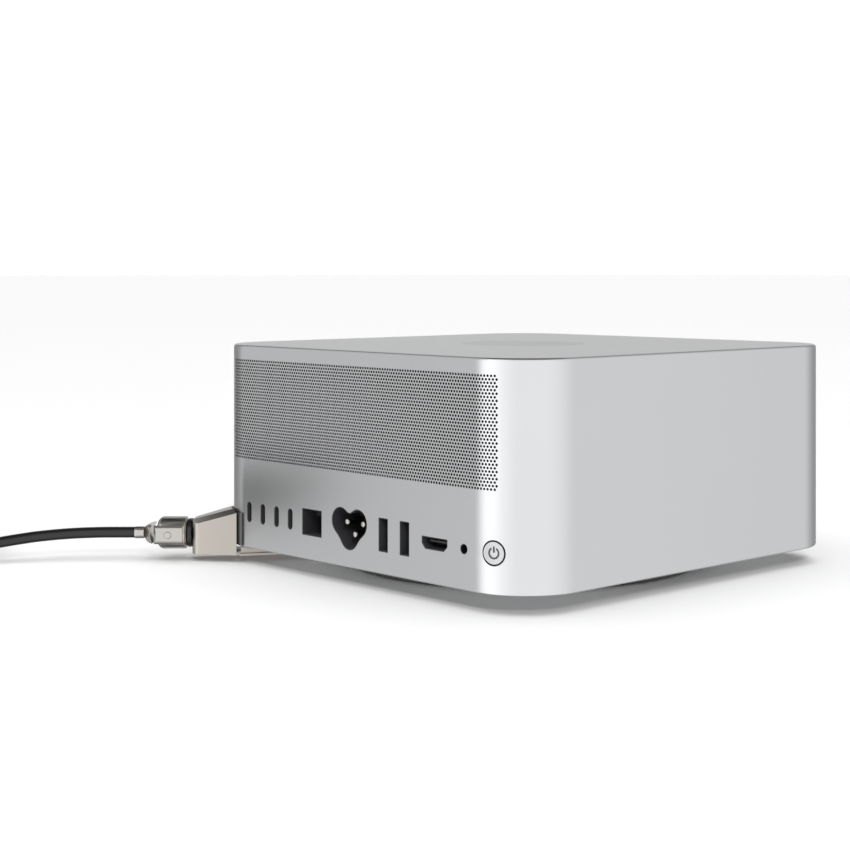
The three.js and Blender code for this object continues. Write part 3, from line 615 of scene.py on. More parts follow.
def close_casing(bm):
    inlay = ring_of_edges(bm, 27.25, CASING_TOP)
    bmesh.ops.triangle_fill(bm, edges=level_rim(bm, CASING_TOP) + inlay, use_beauty=True, normal=(0, 0, 1))
    sunk = verts_in(bmesh.ops.extrude_edge_only(bm, edges=inlay)["geom"])
    shift(bm, sunk, z=-0.8)
    bmesh.ops.holes_fill(bm, edges=[edge for edge in open_edges(bm) if edge.verts[0] in sunk], sides=0)
    bmesh.ops.holes_fill(bm, edges=level_rim(bm, CASING_TOP - ROOF), sides=0)
    rings = []
    for z in (CASING_BOTTOM, FLOOR_TOP):
        ring = ring_of_edges(bm, 79.5, z)
        rings += ring
        wall_rim = [edge for edge in level_rim(bm, z) if edge not in ring]
        bmesh.ops.triangle_fill(bm, edges=wall_rim + ring, use_beauty=True, normal=(0, 0, 1))
    bmesh.ops.bridge_loops(bm, edges=rings)
    outward_normals(bm)
    return bm


casing_mesh = close_casing(build_casing())
print("open edges", len(open_edges(casing_mesh)))
finish_piece("casing_shell", casing_mesh, ALUMINIUM, "computer", ["housing"])

# %% [markdown]
# ### The vent field
# Some three and a half thousand holes of about 1 mm are drilled through the rear wall in a triangular
# pattern, which runs a little way round both corners. Cutting them one by one would be slow, so one
# hexagonal cell with a round hole is made and laid side by side, like a honeycomb. A narrow border fills
# the gap between the honeycomb and the casing's opening, and the whole field is wrapped with the same
# function as the walls, so that the two always match.

# %% Build one drilled cell and lay it out
def drilled_cell(pitch, hole, depth):
    """A hexagon with a hole, standing on a corner, from w = 0 down to w = -depth."""
    bm = bmesh.new()
    turned = Matrix.Rotation(math.radians(22.5), 4, "Z")
    bmesh.ops.create_circle(bm, segments=6, radius=pitch / math.sqrt(3))
    bmesh.ops.create_circle(bm, segments=8, radius=hole / 2, matrix=turned)
    bmesh.ops.bridge_loops(bm, edges=bm.edges)
    thickened(bm, -depth)
    sides = [face for face in bm.faces if abs(face.normal.z) < 0.5
             and face.calc_center_median().xy.length > 0.7 * hole]
    bmesh.ops.delete(bm, geom=sides, context="FACES")
    return bm


def laid_out(pitch, hole, depth, columns, rows):
    """Rows of cells, every second row moved by half a pitch, centred on the origin."""
    bm = drilled_cell(pitch, hole, depth)
    row_pitch = pitch * math.sqrt(0.75)
    for count, step in ((columns, (pitch, 0.0)), (rows, (0.0, row_pitch))):
        base = bm.verts[:] + bm.edges[:] + bm.faces[:]
        for i in range(1, count):
            copy = bmesh.ops.duplicate(bm, geom=base)["geom"]
            sideways = pitch / 2 if step[0] == 0 and i % 2 else 0.0
            shift(bm, verts_in(copy), x=step[0] * i + sideways, y=step[1] * i)
    shift(bm, bm.verts, x=-(columns - 1) * pitch / 2 - pitch / 4, y=-(rows - 1) * row_pitch / 2)
    bmesh.ops.remove_doubles(bm, verts=bm.verts, dist=0.001)
    return bm


# %% Build the vent field
VENT_PITCH, VENT_HOLE, VENT_DEPTH = 1.513, 1.07, 1.2
VENT_COLUMNS, VENT_ROWS = 109, 33


def border(bm, z, half, low, high, steps):
    """Fill between the honeycomb's zigzag edge and a rectangle, at one depth."""
    zigzag = level_rim(bm, z)
    place = Matrix.Translation((0, (low + high) / 2, z)) @ Matrix.Diagonal((2 * half, high - low, 1, 1))
    verts = bmesh.ops.create_grid(bm, x_segments=steps, y_segments=1, size=0.5, matrix=place)["verts"]
    cross = list({e for v in verts for e in v.link_edges if len(e.link_faces) == 2})
    bmesh.ops.delete(bm, geom=cross, context="EDGES")
    outline = list({e for v in verts for e in v.link_edges})
    bmesh.ops.triangle_fill(bm, edges=zigzag + outline, use_beauty=True, normal=(0, 0, 1))


def build_vent():
    bm = laid_out(VENT_PITCH, VENT_HOLE, VENT_DEPTH, VENT_COLUMNS, VENT_ROWS)
    shift(bm, bm.verts, y=(VENT_LOW + VENT_HIGH) / 2)
    for depth in (0.0, -VENT_DEPTH):
        border(bm, depth, VENT_HALF, VENT_LOW, VENT_HIGH, 2 * VENT_COLUMNS)
    bmesh.ops.bridge_loops(bm, edges=open_edges(bm))
    outward_normals(bm)
    print("vent field half width", round(max(v.co.x for v in bm.verts), 2), "faulty edges", faulty_edges(bm))
    wrap(bm)
    return bm


finish_piece("vent_field", build_vent(), ALUMINIUM, "computer")

# %% [markdown]
# ## Turned parts
# The inlay, the button, the pins and most of the lock were made on a lathe. The same idea works here: a
# profile of radius and height is drawn once and spun a full turn about Z. The first and last points lie on
# the axis, or the profile is closed into a ring.

# %% A lathe
def spun(profile, closed=False, segments=64, start=0.0):
    """Spin (radius, height) points about Z. A closed profile makes a ring."""
    bm = bmesh.new()
    verts = [bm.verts.new((radius, 0, start + height)) for radius, height in profile]
    edges = [bm.edges.new(pair) for pair in zip(verts, verts[1:])]
    if closed:
        edges.append(bm.edges.new((verts[-1], verts[0])))
    bmesh.ops.spin(bm, geom=verts + edges, cent=(0, 0, 0), axis=(0, 0, 1), angle=2 * math.pi, steps=segments,
                   use_merge=True, use_duplicate=False)
    bmesh.ops.remove_doubles(bm, verts=bm.verts, dist=1e-4)
    outward_normals(bm)
    return bm


def soften(bm, width, segments=2, angle=35, clamp=True):
    """Round every edge where two faces meet at more than an angle, as deburring does."""
    sharp = [edge for edge in bm.edges if edge.is_manifold and edge.calc_face_angle(0) > math.radians(angle)]
    bevelled(bm, sharp, width, segments, clamp=clamp)
    return bm


# The inlay's darker colour is painted shade for what its polished face mirrors.
inlay = spun([(0, 0), (27.2, 0), (27.2, -0.5), (0, -0.5)], segments=96, start=CASING_TOP)
finish_piece("top_inlay", soften(inlay, 0.06, 1), ALUMINIUM_POLISHED_PAINTED_DARK, "computer",
             ["top_roundel"])

# %% [markdown]
# ## The base and its foot
# The computer stands on a round drum whose low wall is drilled all round to draw in air. The drilled cells
# of the vent serve again: this time the strip is rolled into a cylinder. The zigzag rims are pulled up and
# down to level circles by extruding them. A turned floor closes the drum, and a rubber ring lets the
# computer stand without sliding.

# %% Build the base
DRUM_RADIUS, DRUM_WALL, DRUM_LOW, DRUM_HIGH = 77.7, 1.5, 1.0, 10.3
DRUM_COLUMNS, DRUM_ROWS, DRUM_HOLE, DRUM_MIDDLE = 244, 3, 1.25, 4.15


def build_drum():
    pitch = 2 * math.pi * DRUM_RADIUS / DRUM_COLUMNS
    bm = laid_out(pitch, DRUM_HOLE, DRUM_WALL, DRUM_COLUMNS, DRUM_ROWS)
    for vert in bm.verts:
        angle, reach = vert.co.x / DRUM_RADIUS, DRUM_RADIUS + vert.co.z
        vert.co = Vector((-reach * math.sin(angle), reach * math.cos(angle), DRUM_MIDDLE + vert.co.y))
    bmesh.ops.remove_doubles(bm, verts=bm.verts, dist=0.003)
    for vert in verts_in(bmesh.ops.extrude_edge_only(bm, edges=open_edges(bm))["geom"]):
        vert.co.z = DRUM_HIGH if vert.co.z > DRUM_MIDDLE else DRUM_LOW
    for level in (DRUM_HIGH, DRUM_LOW):
        bmesh.ops.bridge_loops(bm, edges=level_rim(bm, level))
    outward_normals(bm)
    print("drum faulty edges", faulty_edges(bm))
    return bm


finish_piece("base_drum", build_drum(), ABS_BLACK, "computer")
base_floor = spun([(0, 1), (67.7, 1), (67.7, 2), (76.15, 2), (76.15, 3.2), (0, 3.2)], segments=128)
finish_piece("base_floor", soften(base_floor, 0.15), ABS_BLACK, "computer",
             ["base_plate"])
foot = spun([(68, 0), (76, 0), (76, 1.7), (68, 1.7)], closed=True, segments=128)
finish_piece("rubber_foot", soften(foot, 0.35, 3), RUBBER_BLACK_AND_GAP_SHADOW, "computer", ["foot_ring"])

# %% [markdown]
# ## The sockets
# Behind each opening sits a socket whose dark liner comes right up to the casing's outer face, so the
# aluminium's thickness never shows. Each one starts as the same loop as its opening, a hair smaller. The
# loop is filled, inset to make the liner's wall, and the middle is pushed in to the socket's real depth.
# The tongue that carries the contacts is a small rounded block inside. All of it is wrapped like the wall.
# Inside they are dull: the steel's colour is painted dark, as painted shade for the deep sockets, and the
# network socket and mains inlet are grey nylon.

# %% A lined socket
LINER_GAP, LINER_FACE, LINER_TAPER, LINER_BACK = 0.03, -0.12, 0.02, 1.0
# The sockets' steel is painted dark grey: painted shade for the inside of the sockets.
STAINLESS_SHADE_DARKENED = grained("stainless_painted_shade_grey", ("#38383A", "#414144"), (0.55, 0.65), 6, 0.3, 1.0,
                         {"Metallic": 0.1})
POLYAMIDE_GREY = grained("polyamide_moulded_dark_grey", ("#303033", "#39393C"), (0.5, 0.6), 6, 0.3, 3.0,
                         {"Metallic": 0.0, "IOR": 1.53})


def snug(size):
    return [side - LINER_GAP for side in size]


def block(bm, low, high, round_off=0.0):
    """A box between two corners, with its edges rounded off."""
    low, high = Vector(low), Vector(high)
    place = Matrix.Translation((low + high) / 2) @ Matrix.Diagonal((*(high - low), 1))
    verts = bmesh.ops.create_cube(bm, size=1.0, matrix=place)["verts"]
    if round_off:
        bevelled(bm, list({edge for vert in verts for edge in vert.link_edges}), round_off, 2)


def lined(draw, depth, wall=0.3):
    """A cup: the loop that draw makes, filled, with its middle pushed in by depth."""
    bm = bmesh.new()
    draw(bm)
    shift(bm, bm.verts, z=LINER_FACE)
    bmesh.ops.holes_fill(bm, edges=bm.edges[:], sides=0)
    face = bm.faces[0]
    face.normal_update()
    if face.normal.z < 0:
        bmesh.ops.reverse_faces(bm, faces=bm.faces)
    bmesh.ops.inset_region(bm, faces=[face], thickness=wall, depth=0, use_even_offset=True, use_boundary=True)
    bmesh.ops.inset_region(bm, faces=[face], thickness=LINER_TAPER, depth=-depth, use_even_offset=True)
    back = verts_in(bmesh.ops.extrude_edge_only(bm, edges=open_edges(bm))["geom"])
    shift(bm, back, z=-depth - LINER_BACK)
    bmesh.ops.holes_fill(bm, edges=open_edges(bm), sides=0)
    outward_normals(bm)
    return bm


def finish_socket(name, bm, material, node):
    print(name, "faulty edges", faulty_edges(bm))
    for vert in bm.verts:
        vert.co = wrap_point(vert.co)
    return finish_piece(name, bm, material, "computer", [node])


def upright_usb_c(name, u, node):
    bm = lined(lambda mesh: rounded_loop(mesh, u, PORT_Z, *snug(USB_C_SIZE), 1.62, 8), 6.5, 0.28)
    block(bm, (u - 0.35, PORT_Z - 3.3, -6.6), (u + 0.35, PORT_Z + 3.3, -1.9), 0.12)
    finish_socket(name, bm, STAINLESS_SHADE_DARKENED, node)


for number, x in enumerate(USB_C_X, 1):
    upright_usb_c(f"rear_socket_c_{number}", -x, f"usb_c_{number}")
for number, x in enumerate(FRONT_USB_C_X, 1):
    upright_usb_c(f"front_socket_c_{number}", BAND_HALF + x, f"front_usb_c_{number}")

# %% The wider sockets
for number, x in enumerate(USB_A_X, 1):
    made = lined(lambda mesh: rounded_loop(mesh, -x, PORT_Z, *snug(USB_A_SIZE), 0.24, 2), 12)
    block(made, (-x + 0.1, PORT_Z - 5.6, -12.1), (-x + 2.0, PORT_Z + 5.6, -3.4), 0.15)
    finish_socket(f"rear_socket_a_{number}", made, STAINLESS_SHADE_DARKENED, f"usb_a_{number}")

CONTACT_PITCH, CONTACTS = 1.02, 8
made = lined(lambda mesh: rounded_loop(mesh, NETWORK_U, PORT_Z, *snug(NETWORK_SIZE), 0.28, 2), 13)
for i in range(CONTACTS):
    left = NETWORK_U - 3.7 + i * CONTACT_PITCH
    block(made, (left, PORT_Z + 2.2, -11.5), (left + 0.3, PORT_Z + 4.9, -5.5), 0.05)
finish_socket("network_socket", made, POLYAMIDE_GREY, "ethernet_jack")

made = lined(lambda mesh: rounded_loop(mesh, VIDEO_U, PORT_Z, *snug(VIDEO_SIZE), 1.99, 1, lower_corner), 9)
block(made, (VIDEO_U - 5.6, PORT_Z + 0.1, -9.1), (VIDEO_U + 5.6, PORT_Z + 1.0, -2.6), 0.12)
finish_socket("video_socket", made, STAINLESS_SHADE_DARKENED, "hdmi_port")

made = lined(lambda mesh: round_loop(mesh, AUDIO_U, PORT_Z, AUDIO_RADIUS - 0.02), 12, 0.25)
finish_socket("audio_socket", made, ABS_BLACK, "headphone_jack")

made = lined(lambda mesh: rounded_loop(mesh, CARD_U, PORT_Z, *snug(CARD_SIZE), 0.38, 3), 24, 0.2)
finish_socket("card_slot", made, ABS_BLACK, "card_reader")

# %% [markdown]
# ### The mains inlet
# The inlet's cloverleaf is a circle whose points are pulled out to three lobes. Three nickel plated pins
# stand in it, a little back from the face, and each has a domed tip from its turning.

# %% Build the inlet and its pins
PIN_TIP, PIN_REACH = 96.1, 5.1
made = lined(lambda mesh: inlet_loop(mesh, -INLET_X, INLET_Z, 5.67), 14.5, 0.35)
finish_socket("mains_inlet", made, POLYAMIDE_GREY, "power_inlet")
PIN_PLACES = [(INLET_X + PIN_REACH, 25.1), (INLET_X - PIN_REACH, 25.1), (INLET_X, 20.4)]
AIM_REAR = Matrix.Rotation(math.radians(-90), 4, "X")
for number, (x, z) in enumerate(PIN_PLACES, 1):
    pin = spun([(0, 0), (0.6, -0.06), (1.05, -0.25), (1.38, -0.6), (1.53, -1.1), (1.53, -14.5), (0, -14.5)],
               segments=32)
    finish_piece(f"mains_pin_{number}", pin, PIN_NICKEL, "computer", [f"inlet_pin_{number}"],
                 TO_METRES @ Matrix.Translation((x, PIN_TIP, z)) @ AIM_REAR)

# %% [markdown]
# ## The power button
# A turned cap sits in the rounded corner with a dark gap around it, and its face is slightly dished so a
# finger finds it. The mark on it is the plain standby sign: a ring open at the top and a short bar. The
# ring is a small rectangle spun by 300 degrees instead of a full turn. The cap's face is polished finer
# than the casing, and its colour is painted darker as painted shade for what the polished face mirrors.

# %% Build the button
BUTTON_PLACE = (TO_METRES @ Matrix.Translation((-WALL_RUN / 2 - CORNER_RADIUS * math.sin(BUTTON_TURN),
                                                WALL_RUN / 2 + CORNER_RADIUS * math.cos(BUTTON_TURN), PORT_Z))
                @ Matrix.Rotation(BUTTON_TURN, 4, "Z") @ AIM_REAR)
cap = spun([(0, -0.3), (1.5, -0.27), (2.6, -0.2), (3.5, -0.09), (3.95, -0.02), (4.15, -0.04),
            (4.27, -0.15), (4.3, -0.35), (4.3, -3.9), (0, -3.9)], segments=72)
cap_seat = spun([(4.32, -1.6), (5.2, -1.6), (5.2, -3.9), (4.32, -3.9)], closed=True, segments=72)
finish_piece("button_cap", cap, ALUMINIUM_POLISHED_PAINTED_DARK, "power_button", ["power_button"],
             BUTTON_PLACE)
finish_piece("button_seat", cap_seat, ABS_BLACK, "computer", (), BUTTON_PLACE)

INK_GREY = grained("epoxy_ink_dark_grey", ("#3A3B3E", "#45464A"), (0.45, 0.55), 2, 0.2, 1.0,
                   {"Metallic": 0.0, "IOR": 1.5})


def arc_band(inner, outer, low, high, first, last, steps):
    """A rectangle spun from one angle to another and capped at both ends."""
    bm = bmesh.new()
    corners = [bm.verts.new((radius, 0, z)) for radius, z in
               ((inner, low), (outer, low), (outer, high), (inner, high))]
    edges = [bm.edges.new((corners[i], corners[(i + 1) % 4])) for i in range(4)]
    bmesh.ops.rotate(bm, verts=corners, matrix=Matrix.Rotation(math.radians(first), 3, "Z"))
    bmesh.ops.spin(bm, geom=corners + edges, cent=(0, 0, 0), axis=(0, 0, 1), angle=math.radians(last - first),
                   steps=steps)
    bmesh.ops.holes_fill(bm, edges=open_edges(bm), sides=0)
    outward_normals(bm)
    return bm


mark = arc_band(1.62, 2.3, -0.4, -0.18, -60, 240, 48)
block(mark, (-0.33, -2.45, -0.4), (0.33, -0.2, -0.17))
outward_normals(mark)
finish_piece("standby_mark", mark, INK_GREY, "power_button", (), BUTTON_PLACE)

# %% [markdown]
# ## The lock bracket
# The bracket is cast as one wedge: narrow and low where the lock hangs, tall where it hugs the casing's
# corner. It starts as an arc of edges that follows the corner, pushed outward into a strip. Planes then
# cut its face, its two sides and its sloping roof, as a fitter would saw and file a blank. The top edges
# get a broad chamfer, and every edge a fine rounding that catches the light.

# %% Build the bracket
LOCK_Y, LOCK_Z = 4.5, 11.5
CORNER_X = WALL_RUN / 2 * math.sqrt(2)
FACE_X, ROOT_X, HALF_WIDTH, BRACKET_LOW, ROOF_Z, ROOF_SLOPE = 145.6, 121, 11.2, 3.05, 24.9, 0.283
HUG_RADIUS, HUG_FIRST, HUG_TURN = 27.4, math.radians(-34), math.radians(88)


def cut_off(bm, point, normal, fill=True):
    """Cut the mesh with a plane, drop what is on the normal's side and close the cut."""
    geom = bm.verts[:] + bm.edges[:] + bm.faces[:]
    cut = bmesh.ops.bisect_plane(bm, geom=geom, dist=1e-4, plane_co=point, plane_no=normal, clear_outer=True)
    if fill:
        cut_edges = [item for item in cut["geom_cut"] if isinstance(item, bmesh.types.BMEdge)]
        bmesh.ops.holes_fill(bm, edges=cut_edges, sides=0)


def build_bracket():
    bm = bmesh.new()
    start = bm.verts.new((CORNER_X + HUG_RADIUS * math.cos(HUG_FIRST), HUG_RADIUS * math.sin(HUG_FIRST),
                          BRACKET_LOW))
    bmesh.ops.spin(bm, geom=[start], cent=(CORNER_X, 0, 0), axis=(0, 0, 1), angle=HUG_TURN, steps=44)
    outward = bmesh.ops.extrude_edge_only(bm, edges=bm.edges[:])["geom"]
    shift(bm, verts_in(outward), x=45)
    cut_off(bm, (FACE_X, 0, 0), (1, 0, 0), fill=False)
    for side in (-1, 1):
        cut_off(bm, (ROOT_X, LOCK_Y + side * HALF_WIDTH, 0), (0.1394, side * 0.9902, 0), fill=False)
    raised = bmesh.ops.extrude_face_region(bm, geom=bm.faces[:])["geom"]
    shift(bm, verts_in(raised), z=26)
    outward_normals(bm)
    bmesh.ops.dissolve_limit(bm, angle_limit=math.radians(0.5), verts=bm.verts, edges=bm.edges)
    outer = [edge for edge in bm.edges if all(vert.co.x > FACE_X - 0.1 for vert in edge.verts)
             and abs(edge.verts[0].co.z - edge.verts[1].co.z) > 10]
    bevelled(bm, outer, 3.6, 8)
    cut_off(bm, (ROOT_X, 0, ROOF_Z), (ROOF_SLOPE, 0, 1.0))
    for side in (-1, 1):
        cut_off(bm, (ROOT_X, LOCK_Y + side * HALF_WIDTH, ROOF_Z - 2.2), (ROOF_SLOPE + 0.12, side * 0.85, 1.0))
    soften(bm, 0.2, 3, 28, clamp=False)
    outward_normals(bm)
    return bm


bracket_mesh = build_bracket()
print("bracket faulty edges", faulty_edges(bracket_mesh))
finish_piece("corner_bracket", bracket_mesh, ZINC_SATIN, "computer", ["lock_bracket"],
             LOCK_FRAME, 24)

# %% [markdown]
# A thin tapered ledge reaches from the bracket under the computer, so the lock cannot be lifted off. It is
# a plate with a narrower block on it, left rougher as it comes from the tumbling drum, and its colour is
# painted darker than the bracket's as painted shade for where it lies under the computer. A rubber strip
# with a silicone bead, bent to the corner's radius, keeps the metal from scratching the casing, and the
# strip's black is painted shadow for the gap beside the bracket. Each is a small rectangle spun through
# the arc that the bracket hugs.

# %% Build the ledge and the strip
# The ledge's zinc is painted darker than the bracket's: painted shade for where it lies under the computer.
ZINC_PAINTED_SHADE = grained("zinc_cast_painted_shade", ("#96918B", "#9F9A95"), (0.4, 0.5), 9, 0.5, 1.5, {"Metallic": 1.0})


def tapered_plate(bm, low, high, inset):
    place = Matrix.Translation((108.8, LOCK_Y, low)) @ Matrix.Diagonal((29.6 - inset, 2, 1, 1))
    verts = bmesh.ops.create_grid(bm, x_segments=1, y_segments=1, size=0.5, matrix=place)["verts"]
    for vert in verts:
        half = 2.7 + (vert.co.x - 94.0) * 0.297 - inset
        vert.co.y = LOCK_Y + math.copysign(half, vert.co.y - LOCK_Y)
    faces = list({face for vert in verts for face in vert.link_faces})
    raised = bmesh.ops.extrude_face_region(bm, geom=faces)["geom"]
    shift(bm, verts_in(raised), z=high - low)


ledge = bmesh.new()
tapered_plate(ledge, BRACKET_LOW, BRACKET_LOW + 1, 0)
tapered_plate(ledge, BRACKET_LOW + 0.9, 7.0, 0.7)
block(ledge, (118, LOCK_Y - 6.4, BRACKET_LOW + 0.05), (132, LOCK_Y + 6.4, 4.45))
outward_normals(ledge)
finish_piece("bracket_foot", soften(ledge, 0.15, 2), ZINC_PAINTED_SHADE, "computer", ["bracket_ledge"],
             LOCK_FRAME)


STRIP_INNER, STRIP_LOW, STRIP_HIGH = 26.45, 7.8, 22
# The corner strip is black where it shows between the bracket and the bead: painted shadow for that gap.
for name, outer, first, last, steps, rubber, replaced in (
        ("corner_strip_painted_shadow", 26.8, -15, 38.4, 32, RUBBER_BLACK_AND_GAP_SHADOW, ["bracket_pad"]),
        ("strip_bead", 27.15, 38.2, 41, 4, SILICONE_GREY, ())):
    strip = arc_band(STRIP_INNER, outer, STRIP_LOW, STRIP_HIGH, first, last, steps)
    shift(strip, strip.verts, x=CORNER_X)
    finish_piece(name, soften(strip, 0.08, 2), rubber, "computer", replaced, LOCK_FRAME)

# %% [markdown]
# ## The lock
# The lock's round parts are spun about Z and then laid along the lock's axis with one matrix. The fork that
# carries the cable starts as a block. Its nose is a large bevel, its cheeks are cut back by planes, and its
# long edges are well rounded. Only the space for the barrel needs a boolean, since a round hollow through a
# rounded block is exactly what that tool is for.

# %% Build the lock's turned parts
LOCK_AXIS = LOCK_FRAME @ Matrix.Translation((0, LOCK_Y, LOCK_Z))
ALONG_LOCK = LOCK_AXIS @ Matrix.Rotation(math.radians(90), 4, "Y")
ACROSS_LOCK = Matrix.Rotation(math.radians(-90), 4, "X")

collar = spun([(3.9, 145.9), (6.3, 145.9), (6.3, 147.8), (3.9, 147.8)], closed=True)
finish_piece("lock_washer", soften(collar, 0.2, 3), VINYL_BLACK, "computer",
             ["lock_collar"], ALONG_LOCK)
barrel = spun([(1.7, 147.85), (5.7, 147.85), (7.15, 149.1), (7.15, 158.9), (6.75, 160.1), (5.6, 161.2),
               (4.5, 161.2), (4.5, 149.4), (1.7, 149.4)], closed=True, segments=96)
finish_piece("barrel", soften(barrel, 0.14, 2, 20), NICKEL_BRIGHT, "computer",
             ["lock_barrel"], ALONG_LOCK)
ferrule = spun([(0, 167.6), (2.65, 167.6), (2.65, 171.8), (2.45, 171.8), (0, 171.8)], segments=48)
finish_piece("cable_sleeve", soften(ferrule, 0.18, 3), NICKEL_BRIGHT, "cable_yoke",
             ["cable_ferrule"], ALONG_LOCK)
PIVOT_X = 155.7
for number, side in enumerate((-1, 1), 1):
    pin = spun([(0, 5.7), (1.42, 5.7), (1.42, 9.02), (0, 9.02)], segments=32)
    finish_piece(f"pivot_pin_{number}", soften(pin, 0.12, 2), NICKEL_BRIGHT, "computer",
                 [f"yoke_pin_{number}"],
                 LOCK_AXIS @ Matrix.Translation((PIVOT_X, 0, 0))
                 @ Matrix.Rotation(math.radians(-90 * side), 4, "X"))

# %% Carve the fork
def carved(bm, steps):
    """Apply boolean steps, each an operation and a mesh, and return the resulting mesh."""
    holders = []
    for i, solid in enumerate([bm, *(mesh for operation, mesh in steps)]):
        mesh = bpy.data.meshes.new(f"carving_{i}")
        solid.to_mesh(mesh)
        solid.free()
        holders.append(add_object(f"carving_{i}", mesh))
    for (operation, _), cutter in zip(steps, holders[1:]):
        tool = holders[0].modifiers.new(cutter.name, "BOOLEAN")
        tool.operation, tool.solver, tool.object = operation, "EXACT", cutter
    bpy.context.view_layer.update()
    result = bmesh.new()
    result.from_object(holders[0], bpy.context.evaluated_depsgraph_get())
    for holder in holders:
        bpy.data.objects.remove(holder)
    bmesh.ops.remove_doubles(result, verts=result.verts, dist=0.01)
    bmesh.ops.dissolve_limit(result, angle_limit=math.radians(0.5), verts=result.verts, edges=result.edges)
    return result


def thick_from_loops(draw, depth):
    """Fill the loops that draw makes and push the face along Z by depth."""
    bm = bmesh.new()
    draw(bm)
    bmesh.ops.triangle_fill(bm, edges=bm.edges[:], use_beauty=True, normal=(0, 0, 1))
    bmesh.ops.dissolve_limit(bm, angle_limit=math.radians(1), verts=bm.verts, edges=bm.edges)
    made = bmesh.ops.extrude_face_region(bm, geom=bm.faces[:])["geom"]
    shift(bm, verts_in(made), z=depth)
    outward_normals(bm)
    return bm


FACE_ALONG_X = Matrix(((0, 0, 1, 0), (1, 0, 0, 0), (0, 1, 0, 0), (0, 0, 0, 1)))
FACE_ALONG_Y = Matrix(((1, 0, 0, 0), (0, 0, -1, 0), (0, 1, 0, 0), (0, 0, 0, 1)))


def moved(bm, matrix):
    bmesh.ops.transform(bm, matrix=matrix, verts=bm.verts)
    return bm


def build_fork():
    """Where a side view with a round nose and a front view with round corners overlap, less the hollow."""
    nose = thick_from_loops(lambda bm: rounded_loop(bm, 158.65, 0, 18.5, 8.2, 3.7, 12, lambda co: co.x > 160),
                            20)
    moved(nose, FACE_ALONG_Y @ Matrix.Translation((0, 0, -10)))
    for side in (-1, 1):
        cut_off(nose, (160.9, side * 8.95, 0), (0.783, side * 0.622, 0))
        cut_off(nose, (165.9, side * 5.8, 0), (0.814, side * 0.581, 0))
    front = thick_from_loops(lambda bm: rounded_loop(bm, 0, 0, 30.9, 9.0, 4.49, 14), 30)
    moved(front, FACE_ALONG_X @ Matrix.Translation((0, 0, 145)) @ Matrix.Diagonal((0.579, 1, 1, 1)))
    hollow = spun([(0, -7.45), (8.6, -7.45), (8.6, 7.45), (0, 7.45)], segments=96)
    holes = spun([(0, -12), (1.55, -12), (1.55, 12), (0, 12)], segments=32)
    for cutter in (hollow, holes):
        moved(cutter, Matrix.Translation((PIVOT_X, 0, 0)) @ ACROSS_LOCK)
    result = carved(nose, [("INTERSECT", front), ("DIFFERENCE", hollow), ("DIFFERENCE", holes)])
    outward_normals(result)
    return result


fork_mesh = build_fork()
print("fork faulty edges", faulty_edges(fork_mesh), "volume", round(fork_mesh.calc_volume()))
finish_piece("cable_fork", fork_mesh, NICKEL_BRIGHT, "cable_yoke", ["cable_yoke"],
             LOCK_AXIS, 30)

# %% [markdown]
# ## The cable's crimp and tie
# A pressed sleeve closes the loop at the cable's end: an oval of edges, filled and pushed along. A woven
# strap holds the coil. It is two rounded loops joined into a flat band and given the strap's width.

# %% Build the crimp and the tie
crimp = thick_from_loops(lambda bm: rounded_loop(bm, 0, 0, 10.6, 5.8, 2.85, 8), 11.4)
crimp_piece = finish_piece("loop_crimp", soften(crimp, 0.4, 3), NICKEL_BRIGHT, "computer",
                           ["cable_crimp"],
                           LOCK_FRAME @ Matrix.Translation((COIL_X + 4.1, -2.3, TOP_RUN_Z)) @ FACE_ALONG_X)


def tie_loops(bm):
    rounded_loop(bm, 28, 10.475, 18.7, 20.95, 3.6, 6)
    rounded_loop(bm, 28, 10.475, 17.8, 20.05, 3.2, 6)


TIE_WIDTH, TIE_TURN = 8, math.radians(-70)
tie = thick_from_loops(tie_loops, TIE_WIDTH)
tie_piece = finish_piece("coil_strap", tie, STRAP, "computer", ["cable_tie"],
                         LOCK_FRAME @ Matrix.Translation((COIL_X, 0, 0)) @ Matrix.Rotation(TIE_TURN, 4, "Z")
                         @ FACE_ALONG_Y @ Matrix.Translation((0, 0, -TIE_WIDTH / 2)))

# %% [markdown]
# ## Finishes for what the frame brings
# The pieces inside the casing keep the frame's own meshes, because they are seldom seen and their shapes
# are right. Each still gets the finish of its real counterpart.

# %% Dress the remaining nodes
FINISH_OF_SLOT = {
    "anodised_aluminium": ALUMINIUM, "bare_aluminium": ALUMINIUM_BARE, "satin_zinc": ZINC_SATIN,
    "nickel_plate": NICKEL_BRIGHT, "zinc_steel": STEEL_ZINC, "connector_steel": STAINLESS,
    "contact_metal": PIN_NICKEL, "black_rubber": RUBBER_BLACK_AND_GAP_SHADOW, "circuit_board": BOARD,
    "cable_jacket": VINYL_BLACK, "woven_tie": STRAP, "light_pipe": ACRYLIC, "black_plastic": ABS_BLACK,
}
slot_of = {row["node"]: row["material_slot"] for row in frame["record"]["subparts"]}
for node_name, node in frame["nodes"].items():
    node.data.materials.clear()
    node.data.materials.append(FINISH_OF_SLOT[slot_of[node_name]])
print("dressed", len(slot_of), "nodes")

# %% [markdown]
# ## Floor and light
# The object stands on a plain, very large white floor. A very wide sun straight above gives the short, soft
# contact shadow of a light tent, and a small lamp reaches into the sockets. Metal shows only what it
# reflects, so reflections see a tent of their own: bright and dark walls all round, whose shares are set by
# direction. The camera sees a plain backdrop instead, and matt surfaces see an even, weak light.

